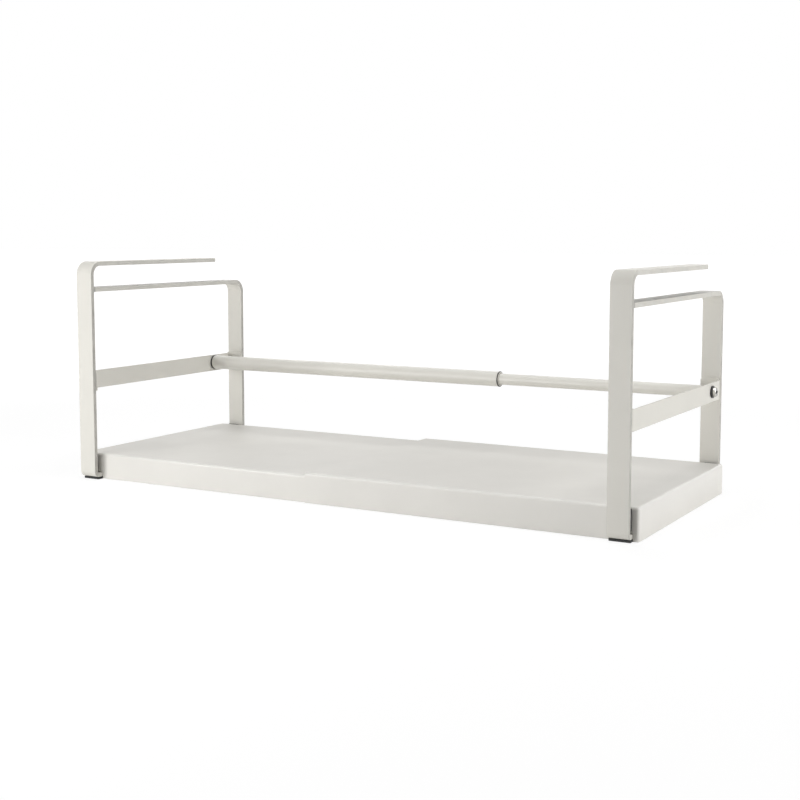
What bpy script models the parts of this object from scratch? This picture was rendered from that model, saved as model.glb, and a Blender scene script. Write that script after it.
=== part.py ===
"""Extendable under-shelf rack, as its separate pieces at their real sizes.

Two side frames bent from flat bar hook over a shelf board from its front edge. Each frame carries
one half of a folded sheet tray. The halves slide over each other, and so do the two tubes of the
rail that joins the frames' straps, so the rack's width can be set.

Metres, +Z up. X runs along the rack, Y from its front to its back. The origin is the middle of the
footprint at the height that the feet stand on.
"""

import math

import bmesh
import bpy
import numpy as np
from mathutils import Matrix, Vector

MM = 0.001

# Gap left between pieces that touch on the real rack
CLEARANCE = 0.3 * MM

# How far a cutter reaches past what it cuts, how near points are welded, and what counts as an edge
CUT_MARGIN = 2.0 * MM
WELD_DISTANCE = 0.01 * MM
EDGE_ANGLE = math.radians(60)

# Side frames, each bent from one flat bar
BAR_WIDTH = 20.0 * MM
BAR_THICKNESS = 4.5 * MM
BAR_EDGE = 0.4 * MM
FRAME_SPAN = 610.0 * MM
FRAME_DEPTH = 266.0 * MM
FRAME_HEIGHT = 227.5 * MM
SHELF_GAP = 22.5 * MM
TOP_ARM_REACH = 215.0 * MM
TIP_RADIUS = 5.0 * MM
TIP_STEPS = 6
UPPER_BEND_INSIDE = 9.5 * MM
LOWER_BEND_INSIDE = 2.0 * MM
BEND_STEPS = 8

# Rubber pads under the frames
PAD_THICKNESS = 2.2 * MM
PAD_LENGTH = 28.0 * MM
PAD_INSET = 5.0 * MM

# Side straps
STRAP_LEVEL = 104.0 * MM
STRAP_HEIGHT = 19.0 * MM
STRAP_THICKNESS = 1.8 * MM
STRAP_BEND_INSIDE = 1.4 * MM
EAR_RISE = 2.5 * MM
EAR_CHAMFER = 2.4 * MM

# Tray halves, folded from sheet
SHEET = 1.2 * MM
TRAY_HEIGHT = 29.7 * MM
TRAY_OVERHANG = 5.8 * MM
TRAY_BEND_INSIDE = 0.8 * MM
TRAY_BEND_STEPS = 3
SKIRT_FLOOR_GAP = 0.3 * MM
RIGHT_TRAY_LENGTH = 337.5 * MM
LEFT_TRAY_LENGTH = 390.8 * MM
NEST_CLEARANCE = 0.4 * MM
GLIDE_THICKNESS = 1.1 * MM
GLIDE_WIDTH = 14.0 * MM
GLIDE_INSET = 2.0 * MM
GLIDE_END_GAP = 8.0 * MM

# Black spacers that seat the tray between the posts
SPACER_GAP = 5.0 * MM
SPACER_WIDTH = 14.0 * MM
SPACER_INSET = 0.5 * MM
SPACER_DROP = 1.0 * MM
SPACER_LIFT = 2.3 * MM

# Brackets, screws and nuts that hold each tray half on its frame
BRACKET_END = 30.0 * MM
BRACKET_WEB = 14.0 * MM
BRACKET_FLANGE = 4.5 * MM
TRAY_SCREW_PITCH = 120.0 * MM
TRAY_SCREW_RADIUS = 2.0 * MM
TRAY_SCREW_HEAD_RADIUS = 3.9 * MM
TRAY_SCREW_RIM = 0.2 * MM
TRAY_SCREW_SPARE = 1.5 * MM
NUT_ACROSS_FLATS = 7.0 * MM
NUT_HEIGHT = 3.2 * MM

# Telescopic rail
RAIL_SETBACK = 30.0 * MM
RAIL_RISE = 0.8 * MM
OUTER_TUBE_RADIUS = 8.0 * MM
TUBE_WALL = 1.0 * MM
TELESCOPE_GAP = 1.0 * MM
OUTER_TUBE_LENGTH = 376.5 * MM
INNER_TUBE_LENGTH = 370.0 * MM
SEAT_THICKNESS = 1.2 * MM
SEAT_RIM = 0.4 * MM
COLLAR_FLANGE = 1.0 * MM
COLLAR_RIM = 0.3 * MM
COLLAR_SPIGOT = 15.0 * MM
GLIDE_PLUG_HEAD = 4.0 * MM
GLIDE_PLUG_SPIGOT = 12.0 * MM
GLIDE_PLUG_PLAY = 0.2 * MM
INSERT_LENGTH = 14.0 * MM
RAIL_SCREW_RADIUS = 2.5 * MM
RAIL_SCREW_LENGTH = 14.0 * MM
RAIL_SCREW_HEAD_RADIUS = 4.9 * MM
RAIL_SCREW_HEAD_HEIGHT = 3.0 * MM
RAIL_SCREW_HEAD_RIM = 0.9 * MM
DOME_STEPS = 6
RECESS_WIDTH = 1.1 * MM
RECESS_SPAN = 5.0 * MM
RECESS_DEPTH = 1.6 * MM
WASHER_RADIUS = 6.1 * MM
WASHER_THICKNESS = 1.6 * MM
TURNED_STEPS = 32

# Levels, faces and radii that follow from the sizes above
UPPER_BEND = UPPER_BEND_INSIDE + BAR_THICKNESS
LOWER_BEND = LOWER_BEND_INSIDE + BAR_THICKNESS
STRAP_BEND = STRAP_BEND_INSIDE + STRAP_THICKNESS
TRAY_BEND = TRAY_BEND_INSIDE + SHEET
INNER_TUBE_RADIUS = OUTER_TUBE_RADIUS - TUBE_WALL - TELESCOPE_GAP
BRACKET_LENGTH = TRAY_SCREW_PITCH + 2 * BRACKET_END
FRONT = -FRAME_DEPTH / 2
BACK = FRAME_DEPTH / 2
BAR_BOTTOM = PAD_THICKNESS + CLEARANCE
RUN_TOP = BAR_BOTTOM + BAR_THICKNESS
OUTER_FACE = FRAME_SPAN / 2
BAR_MIDDLE = OUTER_FACE - BAR_WIDTH / 2
SKIRT_BOTTOM = SKIRT_FLOOR_GAP
RIGHT_TRAY_TOP = SKIRT_BOTTOM + TRAY_HEIGHT
LEFT_TRAY_TOP = RIGHT_TRAY_TOP - SHEET - GLIDE_THICKNESS - 2 * CLEARANCE
RIGHT_TRAY_FRONT = FRONT + BAR_THICKNESS + SPACER_GAP
LEFT_TRAY_FRONT = RIGHT_TRAY_FRONT + SHEET + NEST_CLEARANCE
TRAY_END = OUTER_FACE + TRAY_OVERHANG
RAIL_Y = BACK - BAR_THICKNESS - RAIL_SETBACK
RAIL_LEVEL = STRAP_LEVEL + RAIL_RISE
STRAP_INNER = OUTER_FACE - STRAP_THICKNESS
TUBE_END = STRAP_INNER - SEAT_THICKNESS - 2 * CLEARANCE
NUT_BOTTOM = RUN_TOP + SHEET + 2 * CLEARANCE
TRAY_SCREW_TOP = NUT_BOTTOM + NUT_HEIGHT + TRAY_SCREW_SPARE


def clear_scene():
    """Removes whatever the file holds before the rack is made."""
    for obj in list(bpy.data.objects):
        bpy.data.objects.remove(obj, do_unlink=True)


def make_collection(name):
    """A collection under the scene's own one."""
    collection = bpy.data.collections.new(name)
    bpy.context.scene.collection.children.link(collection)
    return collection


def make_material(name, colour, roughness, metallic=0.0):
    """A plain finish: base colour, roughness and metallic value."""
    material = bpy.data.materials.new(name)
    material.use_nodes = True
    shader = material.node_tree.nodes["Principled BSDF"]
    shader.inputs["Base Color"].default_value = (*colour, 1.0)
    shader.inputs["Roughness"].default_value = roughness
    shader.inputs["Metallic"].default_value = metallic
    return material


def arc(centre, radius, start, end, steps=BEND_STEPS):
    """Points along an arc in a plane, from one angle in degrees to another."""
    angles = np.radians(np.linspace(start, end, steps + 1))
    return [(centre[0] + radius * math.cos(a), centre[1] + radius * math.sin(a)) for a in angles]


class Half:
    """One half of the rack: its parent empty, its collections and which side it is on."""

    def __init__(self, name, side, pieces, cutters, origin):
        self.name = name
        self.side = side
        self.pieces = pieces
        self.cutters = cutters
        self.empty = bpy.data.objects.new(name, None)
        self.empty.location = origin
        pieces.objects.link(self.empty)

    def put(self, obj, location, rotation=(0.0, 0.0, 0.0)):
        """Hangs an object on this half, at a place given in the rack's own coordinates."""
        obj.parent = self.empty
        obj.location = Vector(location) - self.empty.location
        obj.rotation_euler = rotation
        return obj

    def piece(self, name, mesh, material, location, rotation=(0.0, 0.0, 0.0)):
        """A piece of the rack, named after its half where both halves have one."""
        mesh.materials.append(material)
        obj = bpy.data.objects.new(name, mesh)
        self.pieces.objects.link(obj)
        return self.put(obj, location, rotation)

    def cutter(self, name, mesh, location, rotation=(0.0, 0.0, 0.0)):
        """A helper that cuts pieces and isn't one itself."""
        obj = bpy.data.objects.new(name, mesh)
        obj.display_type = "WIRE"
        obj.hide_render = True
        self.cutters.objects.link(obj)
        return self.put(obj, location, rotation)

    def pointing(self, inward=False):
        """The rotation that lays a turned piece's axis along X, away from the middle or towards it."""
        way = -self.side if inward else self.side
        return (0.0, way * math.pi / 2, 0.0)


def mesh_from(name, bm):
    """Turns a working mesh into mesh data."""
    mesh = bpy.data.meshes.new(name)
    bm.to_mesh(mesh)
    bm.free()
    return mesh


def block_mesh(name, size):
    """A box of the given size about its own centre."""
    bm = bmesh.new()
    bmesh.ops.create_cube(bm, size=1.0, matrix=Matrix.Diagonal((*size, 1.0)))
    return mesh_from(name, bm)


def add_bevel(obj, width, segments=1):
    """Rounds every sharp edge."""
    bevel = obj.modifiers.new("Rounded edges", "BEVEL")
    bevel.width = width
    bevel.segments = segments
    bevel.limit_method = "ANGLE"
    bevel.angle_limit = EDGE_ANGLE


def add_cut(obj, cutter):
    """Takes a cutter's shape out of a piece."""
    cut = obj.modifiers.new("Cut by " + cutter.name, "BOOLEAN")
    cut.operation = "DIFFERENCE"
    cut.solver = "EXACT"
    cut.object = cutter


def add_wall(obj, thickness):
    """Gives an open surface its thickness, on the side away from its normals."""
    wall = obj.modifiers.new("Sheet", "SOLIDIFY")
    wall.thickness = thickness
    wall.offset = -1.0
    wall.use_even_offset = True


def profile_mesh(name, profile, closed):
    """A turned piece's profile of (radius, height) points, down its outer side."""
    points = [(radius, 0.0, height) for radius, height in profile]
    edges = [(i, i + 1) for i in range(len(points) - 1)]
    if closed:
        edges.append((len(points) - 1, 0))
    mesh = bpy.data.meshes.new(name)
    mesh.from_pydata(points, edges, [])
    return mesh


def add_turning(obj, steps=TURNED_STEPS):
    """Spins a profile once about the object's own Z axis."""
    spin = obj.modifiers.new("Turned", "SCREW")
    spin.axis = "Z"
    spin.steps = steps
    spin.render_steps = steps
    spin.use_merge_vertices = True
    spin.merge_threshold = WELD_DISTANCE
    spin.use_smooth_shade = True


def ring_profile(inner, outer, length):
    """A plain ring or tube that runs down from height 0."""
    return [(outer, 0.0), (outer, -length), (inner, -length), (inner, 0.0)]


def curve_to_mesh(name, curve):
    """The solid of a filled 2D curve, with its caps welded on."""
    helper = bpy.data.objects.new(name, curve)
    bpy.context.scene.collection.objects.link(helper)
    graph = bpy.context.evaluated_depsgraph_get()
    mesh = bpy.data.meshes.new_from_object(helper.evaluated_get(graph))
    bpy.data.objects.remove(helper, do_unlink=True)
    bm = bmesh.new()
    bm.from_mesh(mesh)
    bmesh.ops.remove_doubles(bm, verts=bm.verts, dist=WELD_DISTANCE)
    bpy.data.meshes.remove(mesh)
    return bm


def frame_outlines():
    """The side frame's outer edge and its window, as (depth, height) points.

    The bar runs from the top arm's tip to the front, down the front post, along the bottom, up
    the back post and forward again as the lower arm, which is welded to the front post.
    """
    bar = BAR_THICKNESS
    arm_top = FRAME_HEIGHT - bar - SHELF_GAP
    front_top = (UPPER_BEND, FRAME_HEIGHT - UPPER_BEND)
    back_top = (FRAME_DEPTH - UPPER_BEND, arm_top - UPPER_BEND)
    front_foot = (LOWER_BEND, LOWER_BEND)
    back_foot = (FRAME_DEPTH - LOWER_BEND, LOWER_BEND)
    edge = [(TOP_ARM_REACH, FRAME_HEIGHT)]
    edge += arc(front_top, UPPER_BEND, 90, 180)
    edge += arc(front_foot, LOWER_BEND, 180, 270)
    edge += arc(back_foot, LOWER_BEND, 270, 360)
    edge += arc(back_top, UPPER_BEND, 0, 90)
    edge += [(bar, arm_top)]
    edge += arc(front_top, UPPER_BEND - bar, 180, 90)
    edge += [(TOP_ARM_REACH, FRAME_HEIGHT - bar)]
    window = arc(front_foot, LOWER_BEND - bar, 180, 270, BEND_STEPS // 2)
    window += arc(back_foot, LOWER_BEND - bar, 270, 360, BEND_STEPS // 2)
    window += arc(back_top, UPPER_BEND - bar, 0, 90)
    window += [(bar, arm_top - bar)]
    return edge, window


def make_frame(half, material, holes):
    """A side frame of flat bar, with rounded tip corners and its tray screws' countersunk holes."""
    curve = bpy.data.curves.new(half.name + "_frame_outline", "CURVE")
    curve.dimensions = "2D"
    curve.fill_mode = "BOTH"
    curve.extrude = BAR_WIDTH / 2
    for outline in frame_outlines():
        spline = curve.splines.new("POLY")
        spline.points.add(len(outline) - 1)
        for point, (depth, height) in zip(spline.points, outline):
            point.co = (depth, height, 0.0, 1.0)
        spline.use_cyclic_u = True
    bm = curve_to_mesh(half.name + "_frame", curve)
    tip = [e for e in bm.edges if is_tip_corner(e)]
    bmesh.ops.bevel(bm, geom=tip, offset=TIP_RADIUS, segments=TIP_STEPS, profile=0.5, affect="EDGES")
    frame = half.piece(
        half.name + "_frame",
        mesh_from(half.name + "_frame", bm),
        material,
        (half.side * BAR_MIDDLE, FRONT, BAR_BOTTOM),
        (math.pi / 2, 0.0, math.pi / 2),
    )
    add_bevel(frame, BAR_EDGE)
    for hole in holes:
        add_cut(frame, hole)
    return frame


def is_tip_corner(edge):
    """Whether an edge is one of the two upright corners at the top arm's tip."""
    first, second = (vert.co for vert in edge.verts)
    at_tip = min(first.x, second.x) > TOP_ARM_REACH - CLEARANCE
    upright = abs(first.y - second.y) > BAR_THICKNESS / 2
    straight = abs(first.z - second.z) < CLEARANCE
    at_top = min(first.y, second.y) > FRAME_HEIGHT - 2 * BAR_THICKNESS
    return at_tip and upright and straight and at_top


def strap_stations():
    """The strap's outer surface as (x, y, top) stations, for a strap on the +X side.

    It starts on the front flange's free end, turns onto the outer face, runs back and turns onto
    the rear flange. Both flanges stand up as ears, and each bend rises to its ear.
    """
    top = STRAP_LEVEL + STRAP_HEIGHT / 2
    ear = top + EAR_RISE
    front = FRONT + BAR_THICKNESS + CLEARANCE
    back = BACK - BAR_THICKNESS - CLEARANCE
    free_end = OUTER_FACE - BAR_WIDTH
    corner = OUTER_FACE - STRAP_BEND
    front_bend = arc((corner, front + STRAP_BEND), STRAP_BEND, 270, 360)
    rear_bend = arc((corner, back - STRAP_BEND), STRAP_BEND, 0, 90)
    stations = [(free_end, front, ear - EAR_CHAMFER), (free_end + EAR_CHAMFER, front, ear)]
    for i, (x, y) in enumerate(front_bend):
        stations.append((x, y, ear - EAR_RISE * i / BEND_STEPS))
    for i, (x, y) in enumerate(rear_bend):
        stations.append((x, y, top + EAR_RISE * i / BEND_STEPS))
    stations += [(free_end + EAR_CHAMFER, back, ear), (free_end, back, ear - EAR_CHAMFER)]
    return stations


def make_strap(half, material):
    """The strap between a frame's posts, with a flange at each end and a hole for the rail."""
    bm = bmesh.new()
    bottom = STRAP_LEVEL - STRAP_HEIGHT / 2
    columns = []
    for x, y, top in strap_stations():
        columns.append([bm.verts.new((half.side * x, y, z)) for z in (bottom, STRAP_LEVEL, top)])
    for before, after in zip(columns, columns[1:]):
        for row in range(2):
            corners = [before[row], after[row], after[row + 1], before[row + 1]]
            bm.faces.new(corners if half.side > 0 else corners[::-1])
    strap = half.piece(half.name + "_strap", mesh_from(half.name + "_strap", bm), material, (0, 0, 0))
    add_wall(strap, STRAP_THICKNESS)
    depth = STRAP_THICKNESS + 2 * CUT_MARGIN
    hole = half.cutter(
        half.name + "_rail_hole",
        profile_mesh(half.name + "_rail_hole", hole_profile(depth), False),
        (half.side * (OUTER_FACE + CUT_MARGIN), RAIL_Y, RAIL_LEVEL),
        half.pointing(),
    )
    add_turning(hole)
    add_cut(strap, hole)


def hole_profile(depth):
    """A straight hole for a rail screw, from height 0 down."""
    radius = RAIL_SCREW_RADIUS + CLEARANCE
    return [(0.0, 0.0), (radius, 0.0), (radius, -depth), (0.0, -depth)]


def make_tray(half, material, length, front, top):
    """A tray half: a flat top with skirts in front, behind and at the outer end.

    Both long skirts are notched at the bottom, where they sit on the frame's bottom run.
    """
    bm = bmesh.new()
    depth = -2 * front
    height = top - SKIRT_BOTTOM
    bmesh.ops.create_cube(bm, size=1.0, matrix=Matrix.Diagonal((length, depth, height, 1.0)))
    open_sides = [f for f in bm.faces if f.normal.z < -0.5 or f.normal.x * half.side < -0.5]
    bmesh.ops.delete(bm, geom=open_sides, context="FACES")
    folds = [e for e in bm.edges if len(e.link_faces) == 2]
    bmesh.ops.bevel(
        bm, geom=folds, offset=TRAY_BEND, segments=TRAY_BEND_STEPS, profile=0.5, affect="EDGES"
    )
    name = half.name + "_tray"
    centre = (half.side * (TRAY_END - length / 2), 0.0, SKIRT_BOTTOM + height / 2)
    tray = half.piece(name, mesh_from(name, bm), material, centre)
    add_wall(tray, SHEET)
    notch_top = RUN_TOP + CLEARANCE
    notch_size = (BAR_WIDTH + 2 * CLEARANCE, depth + 2 * CUT_MARGIN, 2 * notch_top)
    notch = half.cutter(
        half.name + "_notch",
        block_mesh(half.name + "_notch", notch_size),
        (half.side * BAR_MIDDLE, 0.0, 0.0),
    )
    add_cut(tray, notch)


def make_glide(half, material, edge, depth):
    """A low-friction strip between the two tray tops, near one half's inner edge."""
    name = half.name + "_glide"
    size = (GLIDE_WIDTH, depth - 2 * GLIDE_END_GAP, GLIDE_THICKNESS)
    middle = edge + half.side * (GLIDE_INSET + GLIDE_WIDTH / 2)
    level = LEFT_TRAY_TOP + CLEARANCE + GLIDE_THICKNESS / 2
    half.piece(name, block_mesh(name, size), material, (middle, 0.0, level))


def make_spacers(half, material, tray_front, tray_top):
    """The two black blocks that fill the gap between the posts and the tray's long skirts."""
    thickness = tray_front - FRONT - BAR_THICKNESS - 2 * CLEARANCE
    middle = FRONT + BAR_THICKNESS + CLEARANCE + thickness / 2
    bottom = RUN_TOP + SPACER_LIFT
    height = tray_top - SPACER_DROP - bottom
    across = OUTER_FACE - SPACER_INSET - SPACER_WIDTH / 2
    for end, way in (("front", 1), ("rear", -1)):
        name = f"{half.name}_{end}_spacer"
        mesh = block_mesh(name, (SPACER_WIDTH, thickness, height))
        half.piece(name, mesh, material, (half.side * across, way * middle, bottom + height / 2))


def make_pads(half, material):
    """The rubber pads under the front and rear ends of a frame's bottom run."""
    middle = FRONT + PAD_INSET + PAD_LENGTH / 2
    for end, way in (("front", 1), ("rear", -1)):
        name = f"{half.name}_{end}_pad"
        mesh = block_mesh(name, (BAR_WIDTH, PAD_LENGTH, PAD_THICKNESS))
        place = (half.side * BAR_MIDDLE, way * middle, PAD_THICKNESS / 2)
        pad = half.piece(name, mesh, material, place)
        add_bevel(pad, BAR_EDGE)


def make_bracket(half, material, tray_top, holes):
    """The hat-section bracket between a frame's bottom run and the underside of its tray half.

    Its outer flange stops where the tray's end starts to bend down.
    """
    low = RUN_TOP + CLEARANCE
    high = tray_top - SHEET - CLEARANCE - SHEET
    wall = BRACKET_WEB / 2
    outer_rim = TRAY_END - TRAY_BEND - CLEARANCE - BAR_MIDDLE
    inner_rim = wall + BRACKET_FLANGE
    rims = (-inner_rim, outer_rim) if half.side > 0 else (-outer_rim, inner_rim)
    section = [(rims[0], high), (-wall, high), (-wall, low), (wall, low), (wall, high), (rims[1], high)]
    bm = bmesh.new()
    ends = [-BRACKET_LENGTH / 2, BRACKET_LENGTH / 2]
    rows = [[bm.verts.new((x, y, z)) for y in ends] for x, z in section]
    for before, after in zip(rows, rows[1:]):
        bm.faces.new([before[0], before[1], after[1], after[0]])
    name = half.name + "_bracket"
    bracket = half.piece(name, mesh_from(name, bm), material, (half.side * BAR_MIDDLE, 0.0, 0.0))
    add_wall(bracket, SHEET)
    for hole in holes:
        add_cut(bracket, hole)


def countersunk_profile(radius, head_radius, rim, shank, bottom=0.0):
    """A countersunk shape with its flat head down and its shank above, its cone at 45 degrees."""
    return [
        (0.0, shank),
        (radius, shank),
        (radius, rim + head_radius - radius),
        (head_radius, rim),
        (head_radius, bottom),
        (0.0, bottom),
    ]


def tray_screw_places(half):
    """Where a half's two tray screws stand, at the height of the bar's underside."""
    x = half.side * BAR_MIDDLE
    reach = TRAY_SCREW_PITCH / 2
    return [("front", (x, -reach, BAR_BOTTOM)), ("rear", (x, reach, BAR_BOTTOM))]


def make_screw_holes(half):
    """Cutters for the tray screws' holes through the bar, the bracket and the nuts."""
    shape = countersunk_profile(
        TRAY_SCREW_RADIUS + CLEARANCE,
        TRAY_SCREW_HEAD_RADIUS + CLEARANCE,
        TRAY_SCREW_RIM + CLEARANCE,
        TRAY_SCREW_TOP - BAR_BOTTOM + CLEARANCE,
        -CUT_MARGIN,
    )
    holes = []
    for end, place in tray_screw_places(half):
        name = f"{half.name}_{end}_screw_hole"
        hole = half.cutter(name, profile_mesh(name, shape, False), place)
        add_turning(hole)
        holes.append(hole)
    return holes


def make_tray_screws(half, material):
    """The two countersunk screws that come up through the bar into the bracket's nuts."""
    profile = countersunk_profile(
        TRAY_SCREW_RADIUS,
        TRAY_SCREW_HEAD_RADIUS,
        TRAY_SCREW_RIM,
        TRAY_SCREW_TOP - BAR_BOTTOM - CLEARANCE,
    )
    for end, (x, y, z) in tray_screw_places(half):
        name = f"{half.name}_{end}_tray_screw"
        screw = half.piece(name, profile_mesh(name, profile, False), material, (x, y, z + CLEARANCE))
        add_turning(screw, TURNED_STEPS // 2)


def make_nuts(half, material, holes):
    """The two hexagon nuts inside the bracket."""
    corner = NUT_ACROSS_FLATS / math.sqrt(3)
    for (end, (x, y, _)), hole in zip(tray_screw_places(half), holes):
        name = f"{half.name}_{end}_tray_nut"
        bm = bmesh.new()
        bmesh.ops.create_cone(
            bm, cap_ends=True, segments=6, radius1=corner, radius2=corner, depth=NUT_HEIGHT
        )
        place = (x, y, NUT_BOTTOM + NUT_HEIGHT / 2)
        add_cut(half.piece(name, mesh_from(name, bm), material, place), hole)


def make_turned(half, name, profile, material, x, inward=False, closed=True):
    """A turned piece on the rail's axis, its height 0 at x and its axis along the rack."""
    piece = half.piece(
        name,
        profile_mesh(name, profile, closed),
        material,
        (half.side * x, RAIL_Y, RAIL_LEVEL),
        half.pointing(inward),
    )
    add_turning(piece)
    return piece


def make_rail_end(half, finish, tube_radius):
    """What fastens one end of the rail to its strap: seat, threaded insert, washer and screw."""
    bore = RAIL_SCREW_RADIUS + CLEARANCE
    seat = ring_profile(bore, tube_radius + SEAT_RIM, SEAT_THICKNESS)
    make_turned(half, half.name + "_tube_seat", seat, finish["black"], STRAP_INNER - CLEARANCE)
    insert = ring_profile(bore, tube_radius - TUBE_WALL - CLEARANCE, INSERT_LENGTH)
    make_turned(half, half.name + "_tube_insert", insert, finish["zinc"], TUBE_END)
    washer_face = OUTER_FACE + CLEARANCE + WASHER_THICKNESS
    washer = ring_profile(bore, WASHER_RADIUS, WASHER_THICKNESS)
    make_turned(half, half.name + "_rail_washer", washer, finish["black"], washer_face)
    head_base = washer_face + CLEARANCE
    shank = head_base - TUBE_END + RAIL_SCREW_LENGTH - CLEARANCE
    screw = make_turned(
        half, half.name + "_rail_screw", pan_head_profile(shank), finish["steel"], head_base, closed=False
    )
    for turn in range(2):
        name = f"{half.name}_recess_{turn + 1}"
        blade = block_mesh(name, (RECESS_SPAN, RECESS_WIDTH, 2 * RECESS_DEPTH))
        place = (half.side * (head_base + RAIL_SCREW_HEAD_HEIGHT), RAIL_Y, RAIL_LEVEL)
        slot = half.cutter(name, blade, place)
        slot.rotation_euler = (turn * math.pi / 2, half.side * math.pi / 2, 0.0)
        add_cut(screw, slot)


def pan_head_profile(shank):
    """A screw with a low domed head above height 0 and a shank below it."""
    head = RAIL_SCREW_HEAD_RADIUS
    rise = RAIL_SCREW_HEAD_HEIGHT - RAIL_SCREW_HEAD_RIM
    angles = np.linspace(0.0, math.pi / 2, DOME_STEPS + 1)
    dome = [(head * math.sin(a), RAIL_SCREW_HEAD_RIM + rise * math.cos(a)) for a in angles]
    return dome + [(head, 0.0), (RAIL_SCREW_RADIUS, 0.0), (RAIL_SCREW_RADIUS, -shank), (0.0, -shank)]


def make_outer_tube(left, finish):
    """The wide tube of the rail, on the left strap, with the collar that guides the thin tube."""
    bore = OUTER_TUBE_RADIUS - TUBE_WALL
    tube = ring_profile(bore, OUTER_TUBE_RADIUS, OUTER_TUBE_LENGTH)
    make_turned(left, "outer_tube", tube, finish["paint"], TUBE_END)
    rim = OUTER_TUBE_RADIUS + COLLAR_RIM
    spigot = bore - CLEARANCE
    guide = INNER_TUBE_RADIUS + CLEARANCE
    collar = [
        (guide, COLLAR_FLANGE),
        (rim, COLLAR_FLANGE),
        (rim, 0.0),
        (spigot, 0.0),
        (spigot, -COLLAR_SPIGOT),
        (guide, -COLLAR_SPIGOT),
    ]
    mouth = TUBE_END - OUTER_TUBE_LENGTH - CLEARANCE
    make_turned(left, "tube_collar", collar, finish["collar"], mouth, inward=True)


def make_inner_tube(right, finish):
    """The thin tube of the rail, on the right strap, with the plug that guides it inside."""
    bore = INNER_TUBE_RADIUS - TUBE_WALL
    tube = ring_profile(bore, INNER_TUBE_RADIUS, INNER_TUBE_LENGTH)
    make_turned(right, "inner_tube", tube, finish["paint"], TUBE_END)
    head = OUTER_TUBE_RADIUS - TUBE_WALL - GLIDE_PLUG_PLAY
    spigot = bore - CLEARANCE
    plug = [
        (0.0, GLIDE_PLUG_HEAD),
        (head, GLIDE_PLUG_HEAD),
        (head, 0.0),
        (spigot, 0.0),
        (spigot, -GLIDE_PLUG_SPIGOT),
        (0.0, -GLIDE_PLUG_SPIGOT),
    ]
    end = TUBE_END - INNER_TUBE_LENGTH - CLEARANCE
    make_turned(right, "tube_glide_plug", plug, finish["collar"], end, inward=True, closed=False)


def make_half(half, finish, tray_length, tray_front, tray_top, tube_radius):
    """Everything that both halves have, each in its own size."""
    holes = make_screw_holes(half)
    make_frame(half, finish["paint"], holes)
    make_pads(half, finish["rubber"])
    make_strap(half, finish["paint"])
    make_tray(half, finish["tray"], tray_length, tray_front, tray_top)
    make_glide(half, finish["glide"], half.side * (TRAY_END - tray_length), -2 * LEFT_TRAY_FRONT)
    make_spacers(half, finish["rubber"], tray_front, tray_top)
    make_bracket(half, finish["zinc"], tray_top, holes)
    make_tray_screws(half, finish["steel"])
    make_nuts(half, finish["zinc"], holes)
    make_rail_end(half, finish, tube_radius)


def main():
    """Builds the rack at the width that it is shown at."""
    clear_scene()
    pieces = make_collection("under_shelf_rack")
    cutters = make_collection("cutters")
    finish = {
        "paint": make_material("cream_paint", (0.74, 0.73, 0.69), 0.42),
        "tray": make_material("cream_tray_paint", (0.76, 0.75, 0.71), 0.45),
        "collar": make_material("dark_plastic", (0.05, 0.048, 0.045), 0.5),
        "glide": make_material("white_nylon", (0.80, 0.80, 0.78), 0.5),
        "black": make_material("black_plastic", (0.02, 0.02, 0.02), 0.45),
        "rubber": make_material("black_rubber", (0.025, 0.025, 0.025), 0.8),
        "steel": make_material("bright_steel", (0.62, 0.61, 0.59), 0.25, 1.0),
        "zinc": make_material("zinc_plate", (0.55, 0.56, 0.58), 0.4, 1.0),
    }
    left = Half("left", -1, pieces, cutters, (0.0, 0.0, 0.0))
    right = Half("right", 1, pieces, cutters, (0.0, RAIL_Y, RAIL_LEVEL))
    make_half(left, finish, LEFT_TRAY_LENGTH, LEFT_TRAY_FRONT, LEFT_TRAY_TOP, OUTER_TUBE_RADIUS)
    make_half(right, finish, RIGHT_TRAY_LENGTH, RIGHT_TRAY_FRONT, RIGHT_TRAY_TOP, INNER_TUBE_RADIUS)
    make_outer_tube(left, finish)
    make_inner_tube(right, finish)


main()
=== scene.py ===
"""Looks of the extendable under-shelf rack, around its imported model.

Metres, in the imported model's frame: X along the rack, Y from front to back, Z up.
"""

import logging
import math
from collections.abc import Sequence
from dataclasses import dataclass
from enum import Enum

import bmesh
import bpy
import numpy as np
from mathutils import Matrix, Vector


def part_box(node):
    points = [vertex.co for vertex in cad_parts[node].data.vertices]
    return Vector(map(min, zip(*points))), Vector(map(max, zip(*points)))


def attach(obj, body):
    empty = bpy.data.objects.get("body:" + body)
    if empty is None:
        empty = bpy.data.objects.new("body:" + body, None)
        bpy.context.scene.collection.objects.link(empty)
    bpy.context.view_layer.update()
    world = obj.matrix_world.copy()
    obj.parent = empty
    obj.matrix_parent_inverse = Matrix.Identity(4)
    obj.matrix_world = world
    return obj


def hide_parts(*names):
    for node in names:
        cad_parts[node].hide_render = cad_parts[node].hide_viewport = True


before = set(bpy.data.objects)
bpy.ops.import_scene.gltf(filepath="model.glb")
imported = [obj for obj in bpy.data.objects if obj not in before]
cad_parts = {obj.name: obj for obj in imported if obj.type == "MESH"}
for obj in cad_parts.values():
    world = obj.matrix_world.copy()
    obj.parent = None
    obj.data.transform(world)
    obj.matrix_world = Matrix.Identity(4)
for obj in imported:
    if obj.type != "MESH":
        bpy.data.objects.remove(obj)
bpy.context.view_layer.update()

LOG = logging.getLogger("rack")
MM = 0.001
QUARTER = math.pi / 2

# The gap between pieces that touch on the real rack, how near points are merged, and what is sharp
CLEARANCE = 0.3 * MM
MERGE_DISTANCE = 0.0005 * MM
SHARP_ANGLE = math.radians(60)

# Edges flatter than this, in degrees, are shaded smooth unless a piece says otherwise
SMOOTH_BELOW = 35.0

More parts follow.
